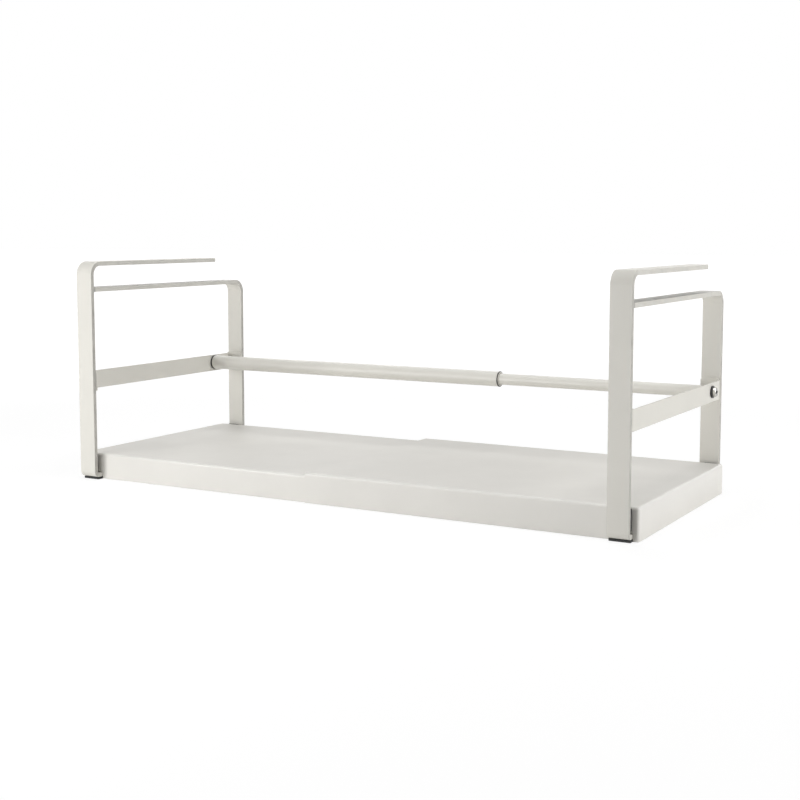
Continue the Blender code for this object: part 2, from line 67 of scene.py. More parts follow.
# The attribute that says how far wear and painted shade mark a piece at each of its points, and below 0 how
# glossy its coat is
WEAR_AND_SHADE = "wear"

Array = np.ndarray
Colour = tuple[float, float, float]
Point = tuple[float, float, float]


class Side(Enum):
    """Which half of the rack a piece is on."""

    LEFT = -1
    RIGHT = 1

    @property
    def label(self) -> str:
        """The word that the side's nodes start with."""
        return self.name.lower()

    @property
    def body(self) -> str:
        """The body that the side's pieces ride on."""
        return self.label + "_half"

    def ends(self, node: str) -> tuple[float, float]:
        """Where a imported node's box ends along X, with the end towards the rack's middle first."""
        low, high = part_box(node)
        return (low.x, high.x) if self is Side.RIGHT else (high.x, low.x)


class Slot(Enum):
    """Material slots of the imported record."""

    FRAME = "frame_paint"
    TRAY = "tray_paint"
    COLLAR = "collar_plastic"
    GLIDE = "glide_nylon"
    PLASTIC = "black_plastic"
    RUBBER = "black_rubber"
    STEEL = "bright_steel"
    ZINC = "zinc_plate"


class Value:
    """A number or vector in a node tree, on which sums are written as Python expressions."""

    def __init__(self, sheet: "NodeSheet", socket: bpy.types.NodeSocket) -> None:
        """Wraps an output socket of one of the sheet's nodes."""
        self.sheet = sheet
        self.socket = socket

    def maths(self, operation: str, *operands: "Operand") -> "Value":
        """Adds a Math node.

        Args:
            operation: The node's operation.
            operands: The node's inputs, in order.

        Returns:
            The node's result.
        """
        inputs = dict(enumerate(operands))
        return self.sheet.add("ShaderNodeMath", {"operation": operation}, inputs).value()

    def __add__(self, other: "Operand") -> "Value":
        """The sum of two values."""
        return self.maths("ADD", self, other)

    def __sub__(self, other: "Operand") -> "Value":
        """The difference of two values."""
        return self.maths("SUBTRACT", self, other)

    def __rsub__(self, other: "Operand") -> "Value":
        """The difference of a number and this value."""
        return self.maths("SUBTRACT", other, self)

    def __mul__(self, other: "Operand") -> "Value":
        """The product of two values."""
        return self.maths("MULTIPLY", self, other)

    __radd__ = __add__
    __rmul__ = __mul__

    def larger(self, other: "Operand") -> "Value":
        """The larger of two values."""
        return self.maths("MAXIMUM", self, other)

    def step(self, low: float, high: float) -> "Value":
        """A smooth rise from 0 at low to 1 at high.

        Args:
            low: Where the rise starts.
            high: Where the rise ends.

        Returns:
            The smoothed share of the way.
        """
        settings = {"interpolation_type": "SMOOTHSTEP"}
        inputs = {"Value": self, "From Min": low, "From Max": high}
        return self.sheet.add("ShaderNodeMapRange", settings, inputs).value("Result")


Operand = Value | float | tuple[float, ...]


def swing(mean: float, *parts: tuple[Value, float]) -> Value:
    """A number that swings about its mean.

    It is the mean plus the sum of each value's distance from a half, times that value's span.

    Args:
        mean: The mean.
        parts: Values about a half, each with its span.

    Returns:
        The number.
    """
    return sum((value * span for value, span in parts), mean - sum(span for _, span in parts) / 2)


class AddedNode:
    """A node that a sheet has just added."""

    def __init__(self, sheet: "NodeSheet", node: bpy.types.Node) -> None:
        """Keeps the node with the sheet that it is on."""
        self.sheet = sheet
        self.node = node

    def value(self, output: str | int = 0) -> Value:
        """One of the node's outputs, by identifier, name or number."""
        return Value(self.sheet, self.sheet.pick(self.node.outputs, output))


class NodeSheet:
    """The nodes of a material or of the world."""

    def __init__(self, tree: bpy.types.NodeTree) -> None:
        """Starts an empty sheet on a node tree."""
        self.tree = tree
        tree.nodes.clear()

    @staticmethod
    def pick(sockets: Sequence[bpy.types.NodeSocket], key: str | int) -> bpy.types.NodeSocket:
        """Finds a socket.

        Args:
            sockets: A node's inputs or outputs.
            key: The socket's identifier, name or number.

        Returns:
            The socket.
        """
        if isinstance(key, int):
            return sockets[key]
        return next((s for s in sockets if s.identifier == key), None) or sockets[key]

    def add(self, kind: str, settings: dict | None = None, inputs: dict | None = None) -> AddedNode:
        """Adds a node.

        Args:
            kind: The node's type.
            settings: The node's own settings, set before its sockets are.
            inputs: Values or links of its sockets, by identifier, name or number.

        Returns:
            The node, wrapped.
        """
        node = self.tree.nodes.new(kind)
        for name, setting in (settings or {}).items():
            setattr(node, name, setting)
        for key, operand in (inputs or {}).items():
            socket = self.pick(node.inputs, key)
            if isinstance(operand, Value):
                self.tree.links.new(operand.socket, socket)
            else:
                socket.default_value = operand
        return AddedNode(self, node)

    def place(self) -> Value:
        """Where a point is on its object, in metres."""
        return self.add("ShaderNodeTexCoord").value("Object")

    def wear(self) -> Value:
        """How far wear and painted shade mark the surface, from the piece's own points, or how glossy it is
        below 0.
        """
        return self.add("ShaderNodeAttribute", {"attribute_name": WEAR_AND_SHADE}).value("Fac")

    def noise(self, place: Value, size: float, detail: float = 2.0) -> Value:
        """Cloudy noise.

        Args:
            place: The coordinates that it is read at.
            size: The width of a cloud, in metres.
            detail: How many finer layers it has.

        Returns:
            The noise, about 0.5.
        """
        inputs = {"Vector": place, "Scale": 1.0 / size, "Detail": detail}
        return self.add("ShaderNodeTexNoise", {"noise_dimensions": "3D"}, inputs).value("Fac")

    def blend(self, share: Operand, first: Operand, second: Operand) -> Value:
        """A colour between two colours.

        Args:
            share: How much of the second colour there is.
            first: The colour where the share is 0.
            second: The colour where the share is 1.

        Returns:
            The mixed colour.
        """
        settings = {"data_type": "RGBA", "clamp_factor": True}
        inputs = {"Factor_Float": share, "A_Color": first, "B_Color": second}
        return self.add("ShaderNodeMix", settings, inputs).value("Result_Color")

    def bump(self, height: Value, depth: float, below: Value | None = None) -> Value:
        """A surface's normal, tilted by a height.

        Args:
            height: The height, from 0 to 1.
            depth: What a height of 1 measures, in metres.
            below: The normal that it is laid over.

        Returns:
            The tilted normal.
        """
        under = {} if below is None else {"Normal": below}
        return self.add("ShaderNodeBump", None, {"Height": height, "Distance": depth} | under).value()

    def finish(self, shader: Value, output: str = "ShaderNodeOutputMaterial") -> None:
        """Sends a shader to the sheet's output."""
        self.add(output, None, {"Surface": shader})


def new_sheet(name: str) -> tuple[bpy.types.Material, NodeSheet]:
    """Starts a material.

    Args:
        name: The material's name.

    Returns:
        The material and its empty sheet of nodes.
    """
    material = bpy.data.materials.new(name)
    material.use_nodes = True
    return material, NodeSheet(material.node_tree)


def rgba(colour: Colour, shade: float = 1.0) -> tuple[float, float, float, float]:
    """A colour with its alpha, made darker or lighter by a factor."""
    red, green, blue = (min(1.0, channel * shade) for channel in colour)
    return red, green, blue, 1.0


@dataclass(frozen=True)
class PowderCoat:
    """Satin powder coat: fine orange peel, faint clouds in its tone and a few dust nibs.

    Attributes:
        name: The material's name.
        colour: Its mean colour.
        roughness: Its mean roughness.
        shine: How strongly it mirrors, where 0.5 is a clear lacquer.
        cloud_size: The width of the clouds in its tone, in metres.
        cloud_band: The noise at which a cloud sets in, and at which it is full.
        cloud_share: How far the clouds darken it.
        cloud_dulling: How far the clouds swing its roughness.
        peel_size: The width of a dimple of the orange peel, in metres.
        peel_depth: The depth of a dimple, in metres.
        peel_dulling: How far the peel swings its roughness.
        grain_size: The width of its finest grain, in metres.
        grain_share: How far the grain swings its tone.
        grain_rise: The depth of the grain, as a share of a dimple's.
        nib_size: The distance between two dust nibs, about, in metres.
        nib_band: The noise at which a nib sets in, and at which it is full.
        nib_rise: The height of a nib, as a share of a dimple's depth.
        sag_size: The width of the sheet's own slow waves, in metres.
        sag_depth: The depth of those waves, in metres.
        dust_share: How far dust darkens it all over.
        thin_share: How far the attribute darkens it, partly as steel showing through on cut edges and partly
            as painted shade on the frame.
        scuff_size: The width of a patch where it shows more or less, in metres.
        steel_tone: The tone of the steel, the dust and the painted shade, as a share of the colour's.
        gloss_roughness: The roughness of its glossy skin, where it has one.
    """

    name: str
    colour: Colour
    roughness: float = 0.52
    shine: float = 0.3
    cloud_size: float = 60 * MM
    cloud_band: tuple[float, float] = (0.3, 0.7)
    cloud_share: float = 0.05
    cloud_dulling: float = 0.08
    peel_size: float = 0.9 * MM
    peel_depth: float = 0.014 * MM
    peel_dulling: float = 0.06
    grain_size: float = 0.225 * MM
    grain_share: float = 0.06
    grain_rise: float = 0.25
    nib_size: float = 2.88 * MM
    nib_band: tuple[float, float] = (0.74, 0.8)
    nib_rise: float = 0.8
    sag_size: float = 70 * MM
    sag_depth: float = 0.03 * MM
    dust_share: float = 0.03
    thin_share: float = 0.3
    scuff_size: float = 9 * MM
    steel_tone: float = 0.5
    gloss_roughness: float = 0.42

    def material(self) -> bpy.types.Material:
        """Builds the finish.

        Returns:
            The material.
        """
        material, sheet = new_sheet(self.name)
        place = sheet.place()
        cloud = sheet.noise(place, self.cloud_size, 3.0)
        peel = sheet.noise(place, self.peel_size, 1.0)
        grain = sheet.noise(place, self.grain_size, 1.0)
        sag = sheet.noise(place, self.sag_size, 0.0)
        nib = sheet.noise(place, self.nib_size, 0.0).step(*self.nib_band)
        scuff = sheet.noise(place, self.scuff_size, 3.0)
        # Above 0 the attribute darkens the coat, partly as a thin coat on cut edges and partly as painted
        # shade on the frame; below 0 it gives a glossy skin.
        wear = sheet.wear()
        thin, glossy = wear.larger(0.0), (0.0 - wear).larger(0.0)
        dark = cloud.step(*self.cloud_band) * self.cloud_share + (grain - 0.5) * self.grain_share
        dark = dark + thin * (scuff + 0.5) * self.thin_share + self.dust_share
        height = peel + grain * self.grain_rise + nib * self.nib_rise
        shader = sheet.add("ShaderNodeBsdfPrincipled", None, {
            "Base Color": sheet.blend(dark, rgba(self.colour), rgba(self.colour, self.steel_tone)),
            "Roughness": swing(self.roughness, (cloud, self.cloud_dulling), (peel, self.peel_dulling)),
            "Specular IOR Level": self.shine,
            "Coat Weight": glossy,
            "Coat Roughness": self.gloss_roughness,
            "Normal": sheet.bump(height, self.peel_depth, sheet.bump(sag, self.sag_depth)),
        })
        sheet.finish(shader.value())
        return material


@dataclass(frozen=True)
class Moulding:
    """Moulded plastic or rubber: eroded-tool texture, a faint flow tone and dull shine.

    Attributes:
        name: The material's name.
        colour: Its mean colour.
        roughness: Its mean roughness.
        grain_size: The width of a grain of the texture, in metres.
        grain_depth: The depth of the texture, in metres.
        grain_dulling: How far the grain swings its roughness.
        flow_size: The width of a flow mark, in metres.
        flow_dulling: How far the flow swings its roughness.
        bloom_band: The flow tone at which bloom sets in, and at which it is full.
        bloom: How far dust and bloom lighten it.
        bloom_tone: The tone of the bloom, as a share of the colour's.
        rubbed: Its colour where a part that slides rubs it pale.
    """

    name: str
    colour: Colour
    roughness: float = 0.5
    grain_size: float = 0.35 * MM
    grain_depth: float = 0.012 * MM
    grain_dulling: float = 0.08
    flow_size: float = 9 * MM
    flow_dulling: float = 0.1
    bloom_band: tuple[float, float] = (0.35, 0.75)
    bloom: float = 0.15
    bloom_tone: float = 1.7
    rubbed: Colour = (0.68, 0.665, 0.62)

    def material(self) -> bpy.types.Material:
        """Builds the finish.

        Returns:
            The material.
        """
        material, sheet = new_sheet(self.name)
        place = sheet.place()
        grain = sheet.noise(place, self.grain_size)
        flow = sheet.noise(place, self.flow_size)
        dusty = flow.step(*self.bloom_band) * self.bloom
        tone = sheet.blend(dusty, rgba(self.colour), rgba(self.colour, self.bloom_tone))
        shader = sheet.add("ShaderNodeBsdfPrincipled", None, {
            "Base Color": sheet.blend(sheet.wear(), tone, rgba(self.rubbed)),
            "Roughness": swing(self.roughness, (flow, self.flow_dulling), (grain, self.grain_dulling)),
            "Normal": sheet.bump(grain, self.grain_depth),
        })
        sheet.finish(shader.value())
        return material


@dataclass(frozen=True)
class Plating:
    """Plated steel: fine scratches, a patchy film and a metal's reflection.

    Attributes:
        name: The material's name.
        colour: The metal's colour.
        roughness: Its mean roughness.
        scratch_width: The width of a scratch, in metres.
        scratch_stretch: The scratches' scale along Z, where 1 is as across them.
        scratch_depth: The depth of a scratch, in metres.
        scratch_dulling: How far the scratches swing its roughness.
        patch_size: The width of a patch of the film, in metres.
        patch_band: The noise at which a patch sets in, and at which it is full.
        patch_share: How far the film darkens it.
        patch_tone: The tone of the film, as a share of the metal's.
        patch_dulling: How far the film swings its roughness.
        grime_tone: The tone of the painted shade in a recess, as a share of the metal's.
        grime_dulling: How much rougher it is where shade is painted in a recess.
    """

    name: str
    colour: Colour
    roughness: float = 0.25
    scratch_width: float = 0.12 * MM
    scratch_stretch: float = 0.12
    scratch_depth: float = 0.004 * MM
    scratch_dulling: float = 0.1
    patch_size: float = 4 * MM
    patch_band: tuple[float, float] = (0.35, 0.7)
    patch_share: float = 0.15
    patch_tone: float = 0.55
    patch_dulling: float = 0.12
    grime_tone: float = 0.05
    grime_dulling: float = 0.4

    def material(self) -> bpy.types.Material:
        """Builds the finish.

        Returns:
            The material.
        """
        material, sheet = new_sheet(self.name)
        place = sheet.place()
        scale = {"Vector": place, "Scale": (1.0, 1.0, self.scratch_stretch)}
        scratch = sheet.noise(sheet.add("ShaderNodeMapping", None, scale).value(), self.scratch_width)
        patch = sheet.noise(place, self.patch_size, 3.0)
        # The attribute paints shade into screw recesses: darker, less metallic and rougher.
        grime = sheet.wear()
        filmed = patch.step(*self.patch_band) * self.patch_share
        tone = sheet.blend(filmed, rgba(self.colour), rgba(self.colour, self.patch_tone))
        dull = swing(self.roughness, (patch, self.patch_dulling), (scratch, self.scratch_dulling))
        shader = sheet.add("ShaderNodeBsdfPrincipled", None, {
            "Base Color": sheet.blend(grime, tone, rgba(self.colour, self.grime_tone)),
            "Metallic": 1.0 - grime,
            "Roughness": dull + grime * self.grime_dulling,
            "Normal": sheet.bump(scratch, self.scratch_depth),
        })
        sheet.finish(shader.value())
        return material


CREAM = (0.742, 0.724, 0.668)
PALE_CREAM = (0.79, 0.772, 0.728)
WHITE = (1.0, 1.0, 1.0)

FINISHES = {
    Slot.FRAME: PowderCoat("frame_powder_coat", CREAM),
    Slot.TRAY: PowderCoat(
        "tray_powder_coat", PALE_CREAM, 0.56, cloud_share=0.06, sag_depth=0.06 * MM, gloss_roughness=0.22
    ),
    Slot.COLLAR: Moulding("dark_nylon", (0.05, 0.048, 0.045), 0.5),
    Slot.GLIDE: Moulding("white_nylon", (0.78, 0.78, 0.76), 0.45, bloom=0.05),
    Slot.PLASTIC: Moulding("black_nylon", (0.02, 0.02, 0.02), 0.42),
    Slot.RUBBER: Moulding("black_rubber", (0.022, 0.022, 0.022), 0.78, grain_size=0.6 * MM, bloom=0.3),
    Slot.STEEL: Plating("bright_nickel", (0.66, 0.65, 0.62), 0.2),
    Slot.ZINC: Plating("dull_zinc", (0.55, 0.56, 0.58), 0.42, patch_share=0.35),
}
MATERIALS: dict[Slot, bpy.types.Material] = {}


def dress(piece: bpy.types.Object, slot: Slot) -> None:
    """Gives a piece its slot's finish, which is made the first time.

    Args:
        piece: The piece.
        slot: Its material slot.
    """
    if slot not in MATERIALS:
        MATERIALS[slot] = FINISHES[slot].material()
    piece.data.materials.clear()
    piece.data.materials.append(MATERIALS[slot])


def grid_faces(rows: int, columns: int, closed_rows: bool = False, closed_columns: bool = False) -> Array:
    """Four-sided faces between the points of a grid that is numbered row by row.

    The face at a row and a column joins that point, the next one in its row, the next one in its
    column and the one across. A closed direction joins its last line of points to its first.

    Args:
        rows: How many rows of points there are.
        columns: How many points a row has.
        closed_rows: Whether the last row meets the first.
        closed_columns: Whether the last column meets the first.

    Returns:
        Point numbers, four to a face.
    """
    i, j = np.meshgrid(
        np.arange(rows if closed_rows else rows - 1),
        np.arange(columns if closed_columns else columns - 1),
        indexing="ij",
    )
    below = (i + 1) % rows
    right = (j + 1) % columns
    corners = [i * columns + j, i * columns + right, below * columns + right, below * columns + j]
    return np.stack(corners, axis=-1).reshape(-1, 4)


def make_piece(
    name: str,
    points: Array,
    faces: Array,
    caps: Sequence[Array] = (),
    sheet: float = 0.0,
    rim: float = 0.0,
    smooth_below: float = SMOOTH_BELOW,
    wear: Array | None = None,
) -> bpy.types.Object:
    """Turns a grid of points into a piece of the rack.

    Points that fall together are merged, which closes seams and poles, edges that hold no face are
    taken out, and every face is turned outwards.

    Args:
        name: The piece's name.
        points: The points, in any grid whose last axis is x, y and z.
        faces: Point numbers, four to a face.
        caps: Flat faces that close its ends, each as the numbers of the points round it.
        sheet: The wall that an open surface gets on its inner side, or 0 for a closed one.
        rim: How far the wall's sharp edges are rounded.
        smooth_below: Edges flatter than this angle in degrees are shaded smooth.
        wear: How far wear and painted shade mark each point, where 1 is a cut edge's thin
            coat and -1 a coat with a glossy skin.

    Returns:
        The piece, at the origin.
    """
    mesh = bpy.data.meshes.new(name)
    polygons = faces.tolist() + [cap.tolist() for cap in caps]
    mesh.from_pydata(points.reshape(-1, 3), [], polygons)
    if wear is not None:
        mesh.attributes.new(WEAR_AND_SHADE, "FLOAT", "POINT").data.foreach_set("value", wear.ravel())
    bm = bmesh.new()
    bm.from_mesh(mesh)
    bmesh.ops.remove_doubles(bm, verts=bm.verts, dist=MERGE_DISTANCE)
    bmesh.ops.delete(bm, geom=[e for e in bm.edges if not e.link_faces], context="EDGES")
    bmesh.ops.delete(bm, geom=[v for v in bm.verts if not v.link_faces], context="VERTS")
    bmesh.ops.recalc_face_normals(bm, faces=bm.faces)
    bm.to_mesh(mesh)
    bm.free()
    mesh.shade_smooth()
    mesh.set_sharp_from_angle(angle=math.radians(smooth_below))
    piece = bpy.data.objects.new(name, mesh)
    bpy.context.scene.collection.objects.link(piece)
    if sheet:
        wall = piece.modifiers.new("Sheet", "SOLIDIFY")
        wall.thickness = sheet
        wall.offset = -1.0
        wall.use_even_offset = True
    if rim:
        edge = piece.modifiers.new("Rounded rim", "BEVEL")
        edge.width = rim
        edge.segments = 2
        edge.limit_method = "ANGLE"
        edge.angle_limit = SHARP_ANGLE
    even = piece.modifiers.new("Even shading", "WEIGHTED_NORMAL")
    even.keep_sharp = True
    return piece


def fit_piece(piece: bpy.types.Object, side: Side, slot: Slot, *nodes: str) -> None:
    """Puts a piece in the rack.

    Args:
        piece: The finished piece.
        side: The half that it rides on.
        slot: Its material slot.
        nodes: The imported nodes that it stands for.
    """
    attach(piece, side.body)
    if nodes:
        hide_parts(*nodes)
    dress(piece, slot)
    LOG.info("%s: %d faces, on %s", piece.name, len(piece.data.polygons), side.body)


def arc(
    centre: tuple[float, float], radius: float, start: float, end: float, steps: int
) -> tuple[Array, Array]:
    """Points round an arc in a plane, and the directions that they lie in.

    A point is the centre plus the radius times the cosine and sine of its angle.

    Args:
        centre: The arc's centre.
        radius: Its radius.
        start: Its first angle, in degrees.
        end: Its last angle, in degrees.
        steps: How many straight pieces it has.

    Returns:
        The points and the outward directions, one row each.
    """
    angle = np.radians(np.linspace(start, end, steps + 1))
    out = np.stack([np.cos(angle), np.sin(angle)], axis=1)
    return np.array(centre) + radius * out, out


def corner_turns(steps: int) -> tuple[Array, Array, Array]:
    """A full turn that stops at each of a rectangle's four corners.

    Args:
        steps: How many straight pieces the turn has at each corner.

    Returns:
        The angle at each point, and the signs of its corner's two coordinates.
    """
    quarter = np.repeat(np.arange(4), steps + 1)
    angle = quarter * QUARTER + np.tile(np.linspace(0.0, QUARTER, steps + 1), 4)
    return angle, np.array([1, -1, -1, 1])[quarter], np.array([1, 1, -1, -1])[quarter]


def rounded_section(half_a: Array, half_b: Array, radius: float, steps: int = 4) -> tuple[Array, Array]:
    """A bar's section with rounded edges, at each of its stations.

    Each quarter of the section turns about its own corner, which lies a radius inside both faces,
    so a coordinate is the corner's plus the radius times the cosine or sine of one full turn.

    Args:
        half_a: Half the section's width at each station.
        half_b: Half its height at each station.
        radius: The radius of its edges.
        steps: How many straight pieces each edge has.

    Returns:
        The two coordinates, with a row for each station.
    """
    angle, sign_a, sign_b = corner_turns(steps)
    a = sign_a * (half_a[:, None] - radius) + radius * np.cos(angle)
    b = sign_b * (half_b[:, None] - radius) + radius * np.sin(angle)
    return a, b


def carried_piece(
    name: str, points: Array, smooth_below: float = SMOOTH_BELOW, wear: Array | None = None
) -> bpy.types.Object:
    """A closed section carried along a line, with a flat face at each end.

    Args:
        name: The piece's name.
        points: The points, with a row for each station along the line.
        smooth_below: Edges flatter than this angle in degrees are shaded smooth.
        wear: How far wear and painted shade mark each point.

    Returns:
        The piece.
    """
    rows, columns = points.shape[:2]
    faces = grid_faces(rows, columns, closed_columns=True)
    first = np.arange(columns)
    caps = [first[::-1], first + (rows - 1) * columns]
    return make_piece(name, points, faces, caps, smooth_below=smooth_below, wear=wear)


def rounded_profile(corners: Sequence[tuple[float, float]], radii: Sequence[float], steps: int = 4) -> Array:
    """A closed outline whose corners are rounded.

    At each corner the arc starts and ends where a circle of its radius touches both sides, and its
    points turn evenly from one touching point to the other about the circle's centre.

    Args:
        corners: The outline's corners, in order.
        radii: The radius at each corner, where 0 leaves it sharp.
        steps: How many straight pieces each arc has.

    Returns:
        The outline's points, one row each.
    """
    corner = np.array(corners, float)
    before = np.roll(corner, 1, axis=0) - corner
    after = np.roll(corner, -1, axis=0) - corner
    before /= np.linalg.norm(before, axis=1, keepdims=True)
    after /= np.linalg.norm(after, axis=1, keepdims=True)
    half = np.arccos(np.clip((before * after).sum(axis=1), -1.0, 1.0)) / 2
    radius = np.array(radii, float)
    middle = before + after
    middle /= np.linalg.norm(middle, axis=1, keepdims=True)
    centre = corner + middle * (radius / np.sin(half))[:, None]
    reach = (radius / np.tan(half))[:, None]
    start = corner + before * reach - centre
    end = corner + after * reach - centre
    turn = (math.pi - 2 * half)[:, None, None]
    share = np.linspace(0.0, 1.0, steps + 1)[None, :, None]
    swung = np.sin((1 - share) * turn) * start[:, None, :] + np.sin(share * turn) * end[:, None, :]
    return (centre[:, None, :] + swung / np.sin(turn)).reshape(-1, 2)


def end_middle(node: str, way: int) -> Point:
    """The middle of a node's box at its low end along X, or at its high end where the way is -1."""
    low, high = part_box(node)
    return (low.x if way > 0 else high.x, (low.y + high.y) / 2, (low.z + high.z) / 2)


def turned_piece(
    name: str, profile: Array, start: Point, way: int = 1, wear: Array | None = None, steps: int = 96
) -> bpy.types.Object:
    """A ring, tube or plug turned about a line along X, from a closed profile.

    A point keeps its distance along the line, and its radius swings round it by the cosine in Y and
    the sine in Z.

    Args:
        name: The piece's name.
        profile: Rows of distance along the line and radius.
        start: Where the line starts.
        way: 1 where distances run towards +X, -1 where they run towards -X.
        wear: How far wear and painted shade mark the surface at each row.
        steps: How many points there are round the line.

    Returns:
        The piece.
    """
    angle = np.linspace(0.0, 2 * math.pi, steps, endpoint=False)
    points = np.stack([
        start[0] + way * np.repeat(profile[:, :1], steps, axis=1),
        start[1] + profile[:, 1:] * np.cos(angle),
        start[2] + profile[:, 1:] * np.sin(angle),
    ], axis=-1)
    faces = grid_faces(*points.shape[:2], closed_rows=True, closed_columns=True)
    if wear is not None:
        wear = np.repeat(wear[:, None], steps, axis=1)
    return make_piece(name, points, faces, wear=wear)


def turned_sleeve(
    node: str, kind: str, bore: float, radii: Sequence[float], gloss: float = 0.0
) -> bpy.types.Object:
    """A ring or tube along X that fills its node's box.

    Args:
        node: The node.
        kind: What the piece's name adds to the node's.
        bore: The radius of its bore.
        radii: How far its edges are rounded: bore and outside at the low end, outside and bore at
            the high end.
        gloss: How glossy its coat is.

    Returns:
        The piece.
    """
    low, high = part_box(node)
    outer = (high.z - low.z) / 2
    length = high.x - low.x
    corners = [(0.0, bore), (0.0, outer), (length, outer), (length, bore)]
    profile = rounded_profile(corners, radii)
    wear = np.full(len(profile), -gloss) if gloss else None
    return turned_piece(f"{node}_{kind}", profile, end_middle(node, 1), wear=wear)


@dataclass
class SideFrame:
    """A side frame of flat bar: top arm, front post, bottom run, back post and lower arm.

    Attributes:
        side: The half that it belongs to.
        thickness: The bar's thickness.
        gap: The slot for the shelf board.
        reach: How far the top arm reaches behind the front post's face.
        upper_bend: The outer radius of both upper bends.
        lower_bend: The outer radius of both lower bends.
        tip_radius: The radius of the top arm's corners, seen from above.
        edge: The radius of the bar's edges.
        bend_steps: How many straight pieces a bend has.
        weld_leg: How far a weld reaches along each face.
        weld_tip: What is left of that at the weld's ends, as a share.
        weld_root: How far its root lies inside the steel, as a share of its reach.
        weld_steps: How many straight pieces it has along the corner.
        weld_ripple: The distance between two ripples of a weld.
        ripple_rise: How far a ripple swells it, as a share.
        weld_heat: Three stations along the lower arm, as distances behind the post's back, over which the
            coat darkens towards the welds.
        post_wear: How much darker a post's cut face is than an arm's, as painted shade.
        heat_wear: How much darker the coat is at the welds than on a cut edge, partly as heat tint and partly
            as painted shade of the joint.
        heat_fade: What is left of that at the middle one of those stations, as a share.
        slot_wear: How much darker the lower arm's top is, as the top arm's painted shadow.
    """

    side: Side
    thickness: float = 4.5 * MM
    gap: float = 22.5 * MM
    reach: float = 215 * MM
    upper_bend: float = 14 * MM
    lower_bend: float = 6.5 * MM
    tip_radius: float = 5 * MM
    edge: float = 0.55 * MM
    bend_steps: int = 20
    weld_leg: float = 2.0 * MM
    weld_tip: float = 0.15
    weld_root: float = 0.04
    weld_steps: int = 120
    weld_ripple: float = 1.5 * MM
    ripple_rise: float = 0.07
    weld_heat: tuple[float, ...] = (3.5 * MM, 1.4 * MM, 0.0)
    post_wear: float = 2.3
    heat_wear: float = 3.5
    heat_fade: float = 0.6
    slot_wear: float = 2.7

    def __post_init__(self) -> None:
        """Reads the frame's place from its node."""
        self.low, self.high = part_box(self.side.label + "_frame")
        self.middle = (self.low.x + self.high.x) / 2
        self.half_width = (self.high.x - self.low.x) / 2
        self.arm_top = self.high.z - self.thickness - self.gap

    def centre_line(self) -> tuple[Array, Array]:
        """The bar's middle line from the top arm's tip to the lower arm's end.

        Straight runs join the ends of arcs about the four bends' centres, whose radius is half the
        bar's thickness less than the bend's. Stations at the tip are spaced by the quarter circles
        of its edge and its corners.

        Returns:
            Rows of y and z, and the direction that the bar's outer face looks in at each.
        """
        half = self.thickness / 2
        low, high = self.low, self.high
        upper, lower = self.upper_bend, self.lower_bend
        tip_y = low.y + self.reach
        fall = 1 - np.cos(np.linspace(0.0, QUARTER, 8))
        back = np.sort(np.concatenate([self.edge * fall, self.tip_radius * fall[2:]]))
        tip = np.stack([tip_y - back, np.full(len(back), high.z - half)], axis=1)
        bends = [
            arc((low.y + upper, high.z - upper), upper - half, 90, 180, self.bend_steps),
            arc((low.y + lower, low.z + lower), lower - half, 180, 270, self.bend_steps),
            arc((high.y - lower, low.z + lower), lower - half, 270, 360, self.bend_steps),
            arc((high.y - upper, self.arm_top - upper), upper - half, 0, 90, self.bend_steps),
        ]
        darkening_y = low.y + self.thickness + np.array(self.weld_heat)
        end = np.stack([darkening_y, np.full(len(darkening_y), self.arm_top - half)], axis=1)
        up = [[0.0, 1.0]]
        line = np.concatenate([tip] + [points for points, _ in bends] + [end])
        out = np.concatenate([up * len(tip)] + [ways for _, ways in bends] + [up * len(darkening_y)])
        return line, out

    def bar(self) -> bpy.types.Object:
        """The bent bar.

        Its rounded section is carried along the middle line. Near the tip the half width follows the
        tip's circle, and in the last stretch the half thickness follows the edge's circle. The coat is
        darkened on the cut faces, partly as a thin coat and partly as painted shade, more on the posts;
        on the lower arm's top, as the top arm's painted shadow; and at the welds, partly as heat tint
        and partly as painted shade of the joint.

        Returns:
            The piece.
        """
        line, out = self.centre_line()
        row = np.arange(len(line))
        arm_rows = len(self.weld_heat)
        on_top_arm = row < len(row) - 4 * (self.bend_steps + 1) - arm_rows
        from_tip = np.where(on_top_arm, self.low.y + self.reach - line[:, 0], self.tip_radius)
        half_a = self.half_width - self.rounded_off(self.tip_radius, from_tip)
        half_b = self.thickness / 2 - self.rounded_off(self.edge, from_tip)
        a, b = rounded_section(half_a, half_b, self.edge)
        y, z = line[:, :1] + out[:, :1] * b, line[:, 1:] + out[:, 1:] * b
        points = np.stack([self.middle + a, y, z], axis=-1)
        # Cut faces are darkened, partly as a thin coat on cut edges and partly as painted shade, more on the
        # posts.
        to_side = np.abs(a) - (half_a[:, None] - self.edge)
        upright = 1.0 + (self.post_wear - 1.0) * np.abs(out[:, :1])
        cut = upright * np.clip(to_side / self.edge, 0.0, 1.0) ** 2
        # Painted shadow of the top arm on the lower arm's top, in the slot.
        in_slot = row[:, None] >= len(row) - arm_rows - self.bend_steps // 2
        rubbed = in_slot * np.clip((b - half_b[:, None]) / self.edge + 1.0, 0.0, 1.0) ** 2
        wear = np.maximum(cut, rubbed * self.slot_wear)
        # Darker next to the post, partly as heat tint of the welds and partly as painted shade of the joint.
        wear[-2:] = np.maximum(wear[-2:], self.heat_wear * np.array([[self.heat_fade], [1.0]]))
        return carried_piece(self.side.label + "_frame_bar", points, wear=wear)

    @staticmethod
    def rounded_off(radius: float, from_end: Array) -> Array:
        """How far a corner's circle draws a bar's flank in, at each distance from the bar's end."""
        return radius - np.sqrt(radius**2 - np.clip(radius - from_end, 0.0, radius) ** 2)

